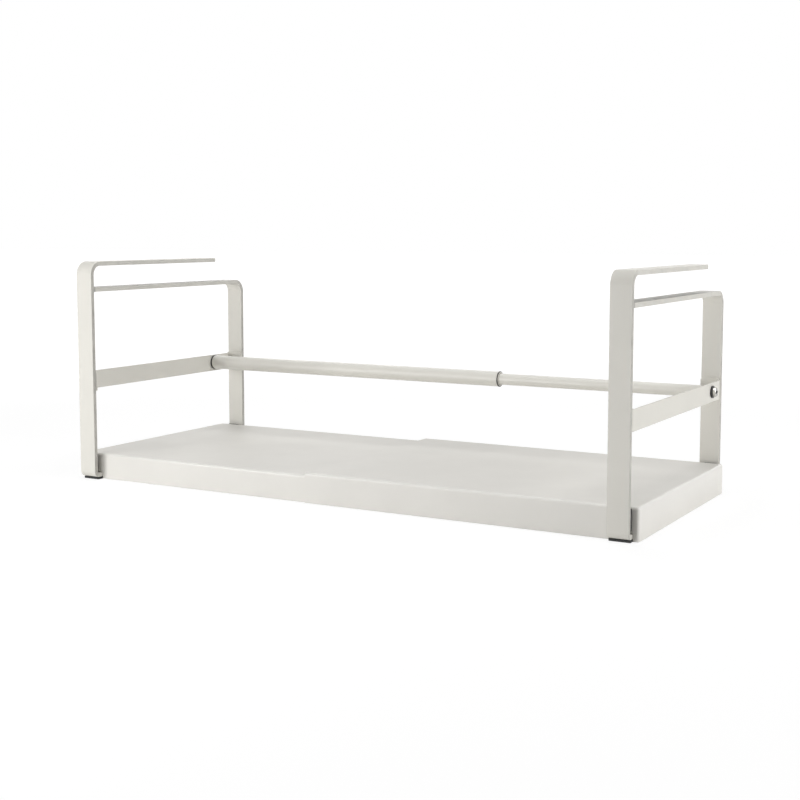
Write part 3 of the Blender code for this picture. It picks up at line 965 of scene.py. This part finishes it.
    def weld(self, name: str, corner: tuple[float, float], start: float) -> bpy.types.Object:
        """A rippled weld in the corner between the front post and the lower arm.

        At each place along X the bead is a quarter circle about the corner, closed by a root just
        inside the steel. Its radius dies away at both ends and swells a little with each ripple.

        Args:
            name: The piece's name.
            corner: The corner's y and z.
            start: The angle in degrees at which the quarter circle starts.

        Returns:
            The piece.
        """
        reach = self.half_width - self.edge
        along = np.linspace(-reach, reach, self.weld_steps + 1)[:, None]
        taper = np.sqrt(np.clip((reach - np.abs(along)) / self.weld_leg, 0.0, 1.0))
        ripple = 1.0 + self.ripple_rise * np.abs(np.sin(math.pi * along / self.weld_ripple))
        radius = self.weld_leg * (self.weld_tip + (1.0 - self.weld_tip) * taper) * ripple
        bead, _ = arc((0.0, 0.0), 1.0, start, start + 90, 8)
        root = -self.weld_root * bead[len(bead) // 2]
        section = np.concatenate([bead, root[None, :]])
        points = np.stack([
            np.repeat(self.middle + along, len(section), axis=1),
            corner[0] + radius * section[:, 0],
            corner[1] + radius * section[:, 1],
        ], axis=-1)
        # The whole bead is darkened, partly as heat tint and partly as painted shade of the joint.
        bead_darkening = np.full(points.shape[:2], self.heat_wear)
        return carried_piece(name, points, smooth_below=50.0, wear=bead_darkening)

    def build(self) -> None:
        """Makes the frame and its two welds."""
        label = self.side.label
        fit_piece(self.bar(), self.side, Slot.FRAME, label + "_frame")
        post_back = self.low.y + self.thickness
        for place, level, start in (("under", self.arm_top - self.thickness, 270), ("over", self.arm_top, 0)):
            bead = self.weld(f"{label}_arm_weld_{place}", (post_back, level), start)
            fit_piece(bead, self.side, Slot.FRAME)


@dataclass
class Strap:
    """The strip between a frame's posts, with a flange and an ear at each end.

    Attributes:
        side: The half that it belongs to.
        thickness: The strip's thickness.
        height: Its height between the ears.
        bend: The outer radius of its bends.
        ear_rise: How far the ears stand above it.
        chamfer: The cut at each ear's corner.
        edge: The radius of its edges.
        bend_steps: How many straight pieces a bend has.
    """

    side: Side
    thickness: float = 1.8 * MM
    height: float = 19 * MM
    bend: float = 3.2 * MM
    ear_rise: float = 2.5 * MM
    chamfer: float = 2.4 * MM
    edge: float = 0.3 * MM
    bend_steps: int = 12

    def build(self) -> None:
        """Makes the strap.

        Its upright section is carried round a plan line of two arcs and three straight runs. The
        section's top follows the ears: it falls in a straight line round the front bend, rises in
        the same way round the rear one, and is cut off at 45 degrees at both free ends.
        """
        node = self.side.label + "_strap"
        low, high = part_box(node)
        way = self.side.value
        inner, outer = self.side.ends(node)
        half = self.thickness / 2
        flank = outer - way * self.bend
        front, front_out = arc((0.0, low.y + self.bend), self.bend - half, 270, 360, self.bend_steps)
        rear, rear_out = arc((0.0, high.y - self.bend), self.bend - half, 0, 90, self.bend_steps)
        top = low.z + self.height
        ear = top + self.ear_rise
        free = np.array([inner, inner + way * self.chamfer])
        x = np.concatenate([free, flank + way * front[:, 0], flank + way * rear[:, 0], free[::-1]])
        y = np.concatenate([np.full(2, low.y + half), front[:, 1], rear[:, 1], np.full(2, high.y - half)])
        ends = np.array([[0.0, -1.0], [0.0, -1.0]])
        out = np.concatenate([ends, front_out, rear_out, -ends])
        rise = top + self.ear_rise * np.linspace(0.0, 1.0, len(front))
        rim = np.concatenate([[ear - self.chamfer, ear], rise[::-1], rise, [ear, ear - self.chamfer]])
        half_height = (rim - low.z) / 2
        a, b = rounded_section(np.full(len(x), half), half_height, self.edge)
        points = np.stack([
            x[:, None] + way * out[:, :1] * a,
            y[:, None] + out[:, 1:] * a,
            low.z + half_height[:, None] + b,
        ], axis=-1)
        fit_piece(carried_piece(node + "_strip", points), self.side, Slot.FRAME, node)


@dataclass
class TrayHalf:
    """A tray half of folded sheet: a flat top, two long skirts and an end skirt.

    Attributes:
        side: The half that it belongs to.
        sheet: The sheet's thickness.
        bend: The outer radius of its folds.
        notch_gap: How far the notches stand off the bar.
        rim: How far its cut edges are rounded.
        bend_steps: How many straight pieces a fold has.
        bar_thickness: The thickness of the frame's bar, which the notches let through.
        fold_gloss: How glossy the coat is where a fold pulls it tight.
    """

    side: Side
    sheet: float = 1.2 * MM
    bend: float = 2.5 * MM
    notch_gap: float = CLEARANCE
    rim: float = 0.25 * MM
    bend_steps: int = 8
    bar_thickness: float = 4.5 * MM
    fold_gloss: float = 0.85

    def build(self) -> None:
        """Makes the tray half.

        The surface is the section across the tray, carried along X. Each point of the section is a
        fold's centre plus the fold's radius times its outward direction. Near the outer end that
        radius shrinks as x runs on, both round a quarter circle, so the end's folds and corners
        close on a flat end face. Both skirts leave out the faces that a notch takes away. The wear
        is below 0 between a fold's first line and its last.
        """
        label = self.side.label
        way = self.side.value
        low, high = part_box(label + "_tray")
        inner, outer = self.side.ends(label + "_tray")
        bar_inner, bar_outer = self.side.ends(label + "_frame")
        notch_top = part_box(label + "_frame")[0].z + self.bar_thickness + self.notch_gap
        skirt_z = [low.z, notch_top]
        turn = np.linspace(0.0, QUARTER, self.bend_steps + 1)
        side_z = np.concatenate([skirt_z, np.full(len(turn), high.z - self.bend)])
        fold = np.concatenate([np.zeros(len(skirt_z)), turn])
        reach = (high.y - low.y) / 2 - self.bend
        centre_y = np.concatenate([np.full(len(fold), -reach), np.full(len(fold), reach)])
        centre_z = np.concatenate([side_z, side_z[::-1]])
        out_y = np.concatenate([-np.cos(fold), np.cos(fold[::-1])])
        out_z = np.concatenate([np.sin(fold), np.sin(fold[::-1])])
        flat_x = [inner, bar_inner - way * self.notch_gap, bar_outer + way * self.notch_gap]
        x = np.concatenate([flat_x, outer - way * self.bend * (1 - np.sin(turn))])
        radius = np.concatenate([np.full(len(flat_x), self.bend), self.bend * np.cos(turn)])
        points = np.stack([
            np.repeat(x[:, None], len(centre_y), axis=1),
            centre_y + radius[:, None] * out_y,
            centre_z + radius[:, None] * out_z,
        ], axis=-1)
        rows, columns = points.shape[:2]
        faces = grid_faces(rows, columns)
        row, column = np.divmod(faces[:, 0], columns)
        cut = (row == 1) & ((column == 0) | (column == columns - 2))
        from_skirt = np.minimum(np.arange(columns), np.arange(columns)[::-1])
        end = np.flatnonzero(from_skirt <= len(skirt_z)) + (rows - 1) * columns
        folded = np.concatenate([fold, fold[::-1]]) % QUARTER > 0
        turned = np.concatenate([np.zeros(len(flat_x)), turn]) % QUARTER > 0
        tight = self.fold_gloss * np.maximum(folded[None, :], turned[:, None])
        name = label + "_tray_sheet"
        tray = make_piece(name, points, faces[~cut], [end], self.sheet, self.rim, wear=-tight)
        fit_piece(tray, self.side, Slot.TRAY, label + "_tray")


def rounded_block(
    node: str, kind: str, corner: float, edge: float, corner_steps: int = 6, edge_steps: int = 4
) -> bpy.types.Object:
    """A block with rounded corners and edges that fills its node's box.

    Each level of it is a rounded rectangle. Its points are the corners' centres plus their radius
    times one full turn of directions, and the radius shrinks round a quarter circle towards the top
    and the bottom.

    Args:
        node: The node.
        kind: What the piece's name adds to the node's.
        corner: The radius of its upright edges.
        edge: The radius of its top and bottom edges.
        corner_steps: How many straight pieces an upright edge has.
        edge_steps: How many straight pieces a top or bottom edge has.

    Returns:
        The piece.
    """
    low, high = np.array(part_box(node))
    middle, half = (low + high) / 2, (high - low) / 2
    turn = np.linspace(0.0, QUARTER, edge_steps + 1)
    rise, inset = edge * (1 - np.cos(turn)), edge * (1 - np.sin(turn))
    level = np.concatenate([low[2] + rise, (high[2] - rise)[::-1]])
    radius = corner - np.concatenate([inset, inset[::-1]])[:, None]
    angle, sign_x, sign_y = corner_turns(corner_steps)
    points = np.stack([
        middle[0] + sign_x * (half[0] - corner) + radius * np.cos(angle),
        middle[1] + sign_y * (half[1] - corner) + radius * np.sin(angle),
        np.repeat(level[:, None], len(angle), axis=1),
    ], axis=-1)
    return carried_piece(f"{node}_{kind}", points)


@dataclass
class Feet:
    """The rubber pads under a frame and the spacers between its posts and the tray.

    Attributes:
        side: The half that they belong to.
        corner: The radius of their upright edges.
        edge: The radius of their top and bottom edges.
    """

    side: Side
    corner: float = 0.9 * MM
    edge: float = 0.35 * MM

    def build(self) -> None:
        """Makes two pads and two spacers, each in its node's box."""
        for end in ("front", "rear"):
            for kind in ("pad", "spacer"):
                node = f"{self.side.label}_{end}_{kind}"
                block = rounded_block(node, "block", self.corner, self.edge)
                fit_piece(block, self.side, Slot.RUBBER, node)


@dataclass
class GlideStrip:
    """The nylon strip between the tray tops, near one half's inner edge.

    Attributes:
        side: The half that it belongs to.
        corner: The radius of its corners, seen from above.
        edge: The radius of its long edges.
    """

    side: Side
    corner: float = 3.0 * MM
    edge: float = 0.3 * MM

    def build(self) -> None:
        """Makes the strip in its node's box."""
        node = self.side.label + "_glide"
        strip = rounded_block(node, "strip", self.corner, self.edge)
        fit_piece(strip, self.side, Slot.GLIDE, node)


@dataclass(frozen=True)
class Recess:
    """A cross recess in a screw's head.

    Attributes:
        span: The length of its arms from tip to tip.
        width: The width of an arm.
        depth: Its depth in the middle.
        tip_share: How deep it is at its arms' tips, as a share of that.
        soft: How softly its walls fall, as a share of its width.
    """

    span: float
    width: float
    depth: float
    tip_share: float = 0.5
    soft: float = 0.25

    def arm(self, along: Array, across: Array) -> Array:
        """How far a point lies in one arm.

        Args:
            along: How far the point lies from the recess's middle along the arm.
            across: How far it lies from the arm's middle line.

        Returns:
            A smooth share from 0 outside the arm to 1 in it.
        """
        soft = self.soft * self.width
        in_width = np.clip((self.width / 2 + soft / 2 - np.abs(across)) / soft, 0.0, 1.0)
        in_length = np.clip((self.span / 2 + soft / 2 - np.abs(along)) / soft, 0.0, 1.0)
        share = in_width * in_length
        return share * share * (3 - 2 * share)

    def sunk(self, u: Array, v: Array) -> Array:
        """How deep the recess is at a point, as a share of its depth in the middle.

        It is the deeper of two crossed arms, each a smooth step of the distance from its middle
        line, times a share that falls in a straight line from the middle to the tips.

        Args:
            u: How far the point lies from the screw's middle along one arm.
            v: How far it lies along the other.

        Returns:
            The share.
        """
        fall = 1.0 - (1.0 - self.tip_share) * np.clip(2 * np.hypot(u, v) / self.span, 0.0, 1.0)
        return np.maximum(self.arm(u, v), self.arm(v, u)) * fall


@dataclass
class CrossScrew:
    """A screw with a cross recess, turned about the line that its head looks along.

    Attributes:
        crown: Rows of height over the head's seat and radius, from the head's middle outwards.
        under: The rows that follow, round the head's rim to the shank.
        length: How far the shank reaches below the seat.
        shank_radius: The shank's radius.
        tip_chamfer: The cut round its tip.
        recess: The recess that is sunk into the crown.
        grime: How quickly the painted shade sets in with the recess's depth.
        steps: How many points there are round it.
    """

    crown: Array
    under: Array
    length: float
    shank_radius: float
    tip_chamfer: float
    recess: Recess
    grime: float = 3.0
    steps: int = 120

    def make(self, name: str, start: Point, axis: Point) -> bpy.types.Object:
        """Makes the screw.

        A point's height is the profile's, less the recess's depth there where it is on the crown.

        Args:
            name: The piece's name.
            start: The middle of the head's seat.
            axis: The direction that the head looks in, along X or Z.

        Returns:
            The piece.
        """
        chamfer, shank = self.tip_chamfer, self.shank_radius
        tip = [[chamfer - self.length, shank], [-self.length, shank - chamfer], [-self.length, 0.0]]
        profile = np.concatenate([self.crown, self.under, tip])
        angle = np.linspace(0.0, 2 * math.pi, self.steps, endpoint=False)
        u, v = profile[:, 1:] * np.cos(angle), profile[:, 1:] * np.sin(angle)
        sunk = self.recess.sunk(u, v)
        sunk[len(self.crown):] = 0.0
        height = profile[:, :1] - self.recess.depth * sunk
        ahead, beside = np.array(axis), np.array([0.0, 1.0, 0.0])
        third = np.cross(ahead, beside)
        points = start + height[..., None] * ahead + u[..., None] * beside + v[..., None] * third
        faces = grid_faces(*height.shape, closed_columns=True)
        # Painted shade in the recess, darker where the recess is deeper.
        return make_piece(name, points, faces, smooth_below=40.0, wear=np.clip(self.grime * sunk, 0.0, 1.0))


@dataclass
class RailEnd:
    """What fastens one end of the rail to its strap: seat, washer and screw.

    Attributes:
        side: The half that it belongs to.
        head_radius: The radius of the screw's head.
        head_height: The head's height.
        head_rim: The height of the head's upright rim.
        head_edge: The cut round the rim's lower edge.
        crown_rows: How many rows of points the head's round top has.
        shank_radius: The radius of the screw's shank.
        tip_chamfer: The cut round its tip.
        recess: The recess in its head.
        bore_radius: The radius of the rings' bores.
        round_edge: The radius of the rings' outer edges.
    """

    side: Side
    head_radius: float = 4.6 * MM
    head_height: float = 3.2 * MM
    head_rim: float = 2.4 * MM
    head_edge: float = 0.15 * MM
    crown_rows: int = 40
    shank_radius: float = 2.5 * MM
    tip_chamfer: float = 0.4 * MM
    recess: Recess = Recess(span=7.4 * MM, width=2.4 * MM, depth=2.2 * MM)
    bore_radius: float = 2.8 * MM
    round_edge: float = 0.3 * MM

    def build(self) -> None:
        """Makes the seat, the washer and the pan-head screw."""
        way = self.side.value
        washer, node = self.side.label + "_rail_washer", self.side.label + "_rail_screw"
        radii = [0.0, self.round_edge, self.round_edge, 0.0]
        for ring in (self.side.label + "_tube_seat", washer):
            fit_piece(turned_sleeve(ring, "ring", self.bore_radius, radii), self.side, Slot.PLASTIC, ring)
        seat = self.side.ends(washer)[1] + way * CLEARANCE
        tip, middle_y, middle_z = end_middle(node, way)
        turn = np.linspace(0.0, QUARTER, self.crown_rows)
        rise = self.head_height - self.head_rim
        crown = np.stack([self.head_rim + rise * np.cos(turn), self.head_radius * np.sin(turn)], axis=1)
        under = np.array([
            [self.head_edge, self.head_radius],
            [0.0, self.head_radius - self.head_edge],
            [0.0, self.shank_radius],
        ])
        screw = CrossScrew(crown, under, abs(seat - tip), self.shank_radius, self.tip_chamfer, self.recess)
        piece = screw.make(node + "_pan_head", (seat, middle_y, middle_z), (float(way), 0.0, 0.0))
        fit_piece(piece, self.side, Slot.STEEL, node)


@dataclass
class TrayScrews:
    """The two countersunk screws that hold a tray half on its frame's bottom run.

    Attributes:
        side: The half that they belong to.
        head_radius: The radius of a screw's head.
        head_rim: The height of the head's upright rim.
        head_edge: The cut round the head's flat face.
        crown_rows: How many rows of points that face has.
        shank_radius: The radius of a screw's shank.
        tip_chamfer: The cut round its tip.
        recess: The recess in its head.
    """

    side: Side
    head_radius: float = 3.9 * MM
    head_rim: float = 0.2 * MM
    head_edge: float = 0.1 * MM
    crown_rows: int = 32
    shank_radius: float = 2.0 * MM
    tip_chamfer: float = 0.3 * MM
    recess: Recess = Recess(span=4.2 * MM, width=0.9 * MM, depth=1.5 * MM)

    def build(self) -> None:
        """Makes both screws, their flat heads down."""
        radius = np.linspace(0.0, self.head_radius - self.head_edge, self.crown_rows)
        crown = np.stack([np.zeros(self.crown_rows), radius], axis=1)
        cone = self.head_radius - self.shank_radius
        under = np.array([
            [-self.head_edge, self.head_radius],
            [-self.head_rim, self.head_radius],
            [-self.head_rim - cone, self.shank_radius],
        ])
        for end in ("front", "rear"):
            node = f"{self.side.label}_{end}_tray_screw"
            low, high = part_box(node)
            screw = CrossScrew(crown, under, high.z - low.z, self.shank_radius, self.tip_chamfer, self.recess)
            start = ((low.x + high.x) / 2, (low.y + high.y) / 2, low.z)
            piece = screw.make(node + "_countersunk", start, (0.0, 0.0, -1.0))
            fit_piece(piece, self.side, Slot.STEEL, node)


@dataclass
class Rail:
    """The telescopic rail: wide tube, collar, thin tube and the plug that guides it.

    Attributes:
        wall: The tubes' wall.
        mouth: The radius of the tubes' cut edges.
        collar_flange: The length of the collar's flange.
        lip_rise: How far the lip round the thin tube stands proud of the collar's rim.
        rim_width: The width of that rim.
        plug_head: The length of the plug's head.
        edge: The radius of the plug's outer edges.
        collar_edge: The radius of the collar's outer edge.
        fine_edge: The radius of the small edges and of inner corners.
        polish: How glossy the coat is on the tubes, which slide and are held by hand.
    """

    wall: float = 1.0 * MM
    mouth: float = 0.35 * MM
    collar_flange: float = 1.0 * MM
    lip_rise: float = 0.3 * MM
    rim_width: float = 0.9 * MM
    plug_head: float = 4.0 * MM
    edge: float = 0.5 * MM
    collar_edge: float = 0.3 * MM
    fine_edge: float = 0.1 * MM
    polish: float = 0.75

    def tube(self, node: str, side: Side) -> tuple[float, float]:
        """Makes a tube with rounded mouths.

        Args:
            node: The tube's node.
            side: The half that it rides on.

        Returns:
            Its outer radius and its bore's radius.
        """
        low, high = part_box(node)
        outer = (high.z - low.z) / 2
        bore = outer - self.wall
        fit_piece(turned_sleeve(node, "sleeve", bore, [self.mouth] * 4, self.polish), side, Slot.FRAME, node)
        return outer, bore

    def collar(self, thin: float, wide_bore: float) -> None:
        """Makes the collar: a rim with a pale lip, a flange and a spigot that fills the wide tube.

        Args:
            thin: The thin tube's radius.
            wide_bore: The radius of the wide tube's bore.
        """
        node = "tube_collar"
        low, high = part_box(node)
        length, rim = high.x - low.x, (high.z - low.z) / 2
        guide, spigot, lip = thin + CLEARANCE, wide_bore - CLEARANCE, rim - self.rim_width
        corners = [
            (0.0, guide), (0.0, lip), (self.lip_rise, lip), (self.lip_rise, rim),
            (self.collar_flange, rim), (self.collar_flange, spigot), (length, spigot), (length, guide),
        ]
        radii = np.full(len(corners), self.fine_edge)
        radii[corners.index((self.lip_rise, rim))] = self.collar_edge
        profile = rounded_profile(corners, radii)
        rubbed = (profile[:, 0] < self.lip_rise / 2).astype(float)
        ring = turned_piece(node + "_ring", profile, end_middle(node, -1), -1, rubbed)
        fit_piece(ring, Side.LEFT, Slot.COLLAR, node)

    def plug(self, thin_bore: float) -> None:
        """Makes the plug: a head that slides in the wide tube and a spigot that fills the thin one.

        Args:
            thin_bore: The radius of the thin tube's bore.
        """
        node = "tube_glide_plug"
        low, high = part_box(node)
        length, head, spigot = high.x - low.x, (high.z - low.z) / 2, thin_bore - CLEARANCE
        corners = [
            (0.0, 0.0), (0.0, head), (self.plug_head, head),
            (self.plug_head, spigot), (length, spigot), (length, 0.0),
        ]
        profile = rounded_profile(corners, [0.0, self.edge, self.collar_edge, self.fine_edge, self.edge, 0.0])
        fit_piece(turned_piece(node + "_turned", profile, end_middle(node, 1)), Side.RIGHT, Slot.COLLAR, node)

    def build(self) -> None:
        """Makes both tubes, the collar and the plug."""
        _, wide_bore = self.tube("outer_tube", Side.LEFT)
        thin, thin_bore = self.tube("inner_tube", Side.RIGHT)
        self.collar(thin, wide_bore)
        self.plug(thin_bore)


@dataclass
class HiddenFixings:
    """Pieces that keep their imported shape: brackets, nuts and threaded inserts.

    Attributes:
        side: The half that they belong to.
    """

    side: Side

    def build(self) -> None:
        """Gives each of them its finish."""
        label = self.side.label
        for kind in ("bracket", "tube_insert", "front_tray_nut", "rear_tray_nut"):
            dress(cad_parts[f"{label}_{kind}"], Slot.ZINC)
            LOG.info("%s_%s keeps its packed shape", label, kind)


@dataclass(frozen=True)
class Lamp:
    """A square soft lamp that looks at the rack.

    Attributes:
        name: The lamp's name.
        place: Where it hangs.
        size: Its width.
        power: Its power, in watts.
        aim: How high above the floor's middle it looks.
    """

    name: str
    place: Point
    size: float
    power: float
    aim: float = 0.1

    def hang(self) -> None:
        """Adds the lamp to the scene, turned to the point that it looks at."""
        light = bpy.data.lights.new(self.name, "AREA")
        light.size = self.size
        light.energy = self.power
        lamp = bpy.data.objects.new(self.name, light)
        lamp.visible_camera = False
        across, ahead, up = np.array([0.0, 0.0, self.aim]) - self.place
        lift = math.atan2(up, math.hypot(across, ahead))
        lamp.location = self.place
        lamp.rotation_euler = (QUARTER + lift, 0.0, -math.atan2(across, ahead))
        bpy.context.scene.collection.objects.link(lamp)


@dataclass
class Studio:
    """The camera, the lamps, the world and the pale floor.

    Attributes:
        eye: The camera's place.
        yaw: How far the camera turns from +Y towards -X, in degrees.
        pitch: How far it looks up, in degrees.
        focal_length: Its focal length for a 36 mm sensor, in millimetres.
        shift: How far its picture is moved up, as a share of the picture's width.
        floor_reach: How far the floor goes on each way.
        floor_colour: The floor's colour.
        glow: How much of the floor near the rack is seen as plain white.
        glow_strength: How bright that white is.
        near: The distance within which the floor shows shadow.
        far: The distance from which it is plain white.
        lamps: The lamps.
    """

    eye: Point = (0.68452, -1.19146, 0.26337)
    yaw: float = 29.548
    pitch: float = -5.465
    focal_length: float = 60.454
    shift: float = -0.05244
    floor_reach: float = 12.0
    floor_colour: Colour = (0.9, 0.9, 0.9)
    glow: float = 0.75
    glow_strength: float = 1.12
    near: float = 0.7
    far: float = 1.6
    lamps: tuple[Lamp, ...] = (
        Lamp("left_low_softbox", (-0.6, -0.9, 0.15), 0.4, 3.0),
        Lamp("front_low_softbox", (-0.2, -1.0, 0.12), 0.35, 1.7),
        Lamp("left_far_softbox", (-1.6, -3.0, 0.4), 1.2, 29.0),
        Lamp("right_low_softbox", (1.6, 0.1, 0.35), 1.0, 9.0),
        Lamp("right_far_softbox", (3.5, 0.0, 0.5), 1.2, 32.0),
        Lamp("back_softbox", (0.0, 1.7, 1.0), 1.4, 4.6),
        Lamp("left_back_softbox", (-1.3, 1.3, 1.0), 1.2, 6.6),
        Lamp("top_softbox", (0.0, 0.0, 1.9), 1.6, 20.5),
    )

    def build(self) -> None:
        """Sets up the whole studio."""
        self.hang_camera()
        self.paint_world()
        self.lay_floor()
        for lamp in self.lamps:
            lamp.hang()
            LOG.info("%s: %.0f W", lamp.name, lamp.power)
        bpy.context.scene.view_settings.view_transform = "Standard"

    def hang_camera(self) -> None:
        """Adds the camera at the photograph's viewing angle."""
        data = bpy.data.cameras.new("camera")
        data.lens = self.focal_length
        data.shift_y = self.shift
        camera = bpy.data.objects.new("camera", data)
        camera.location = self.eye
        camera.rotation_euler = (QUARTER + math.radians(self.pitch), 0.0, math.radians(self.yaw))
        bpy.context.scene.collection.objects.link(camera)
        bpy.context.scene.camera = camera

    @staticmethod
    def seen_directly(sheet: NodeSheet) -> Value:
        """Tells what the camera sees from what only gives light.

        Args:
            sheet: The sheet that the nodes are added to.

        Returns:
            1 for what is seen directly, in a reflection or through glass, and 0 for the rest.
        """
        paths = sheet.add("ShaderNodeLightPath")
        mirrored = paths.value("Is Glossy Ray").larger(paths.value("Is Transmission Ray"))
        return mirrored.larger(paths.value("Is Camera Ray"))

    def paint_world(self) -> None:
        """A world that is seen as white and gives no light."""
        world = bpy.data.worlds.new("studio")
        world.use_nodes = True
        bpy.context.scene.world = world
        sheet = NodeSheet(world.node_tree)
        white = {"Color": rgba(WHITE), "Strength": self.seen_directly(sheet)}
        sheet.finish(sheet.add("ShaderNodeBackground", None, white).value(), "ShaderNodeOutputWorld")

    def lay_floor(self) -> None:
        """A wide pale floor that keeps the rack's shadow and turns plain white further off."""
        reach = self.floor_reach
        corners = [(-reach, -reach, 0.0), (reach, -reach, 0.0), (reach, reach, 0.0), (-reach, reach, 0.0)]
        mesh = bpy.data.meshes.new("floor")
        mesh.from_pydata(corners, [], [(0, 1, 2, 3)])
        floor = bpy.data.objects.new("floor", mesh)
        bpy.context.scene.collection.objects.link(floor)
        material, sheet = new_sheet("pale_floor")
        length = sheet.add("ShaderNodeVectorMath", {"operation": "LENGTH"}, {0: sheet.place()})
        away = length.value("Value").step(self.near, self.far)
        share = self.seen_directly(sheet) * (away * (1.0 - self.glow) + self.glow)
        matt = sheet.add("ShaderNodeBsdfDiffuse", None, {"Color": rgba(self.floor_colour)}).value()
        glow = {"Color": rgba(WHITE), "Strength": self.glow_strength}
        white = sheet.add("ShaderNodeEmission", None, glow).value()
        sheet.finish(sheet.add("ShaderNodeMixShader", None, {0: share, 1: matt, 2: white}).value())
        mesh.materials.append(material)


def main() -> None:
    """Builds the rack, sub-assembly by sub-assembly, and its studio."""
    logging.basicConfig(level=logging.INFO, format="%(name)s: %(message)s")
    for side in Side:
        for part in (SideFrame, Strap, TrayHalf, GlideStrip, Feet, TrayScrews, RailEnd, HiddenFixings):
            part(side).build()
    Rail().build()
    Studio().build()


if __name__ == "__main__":
    main()
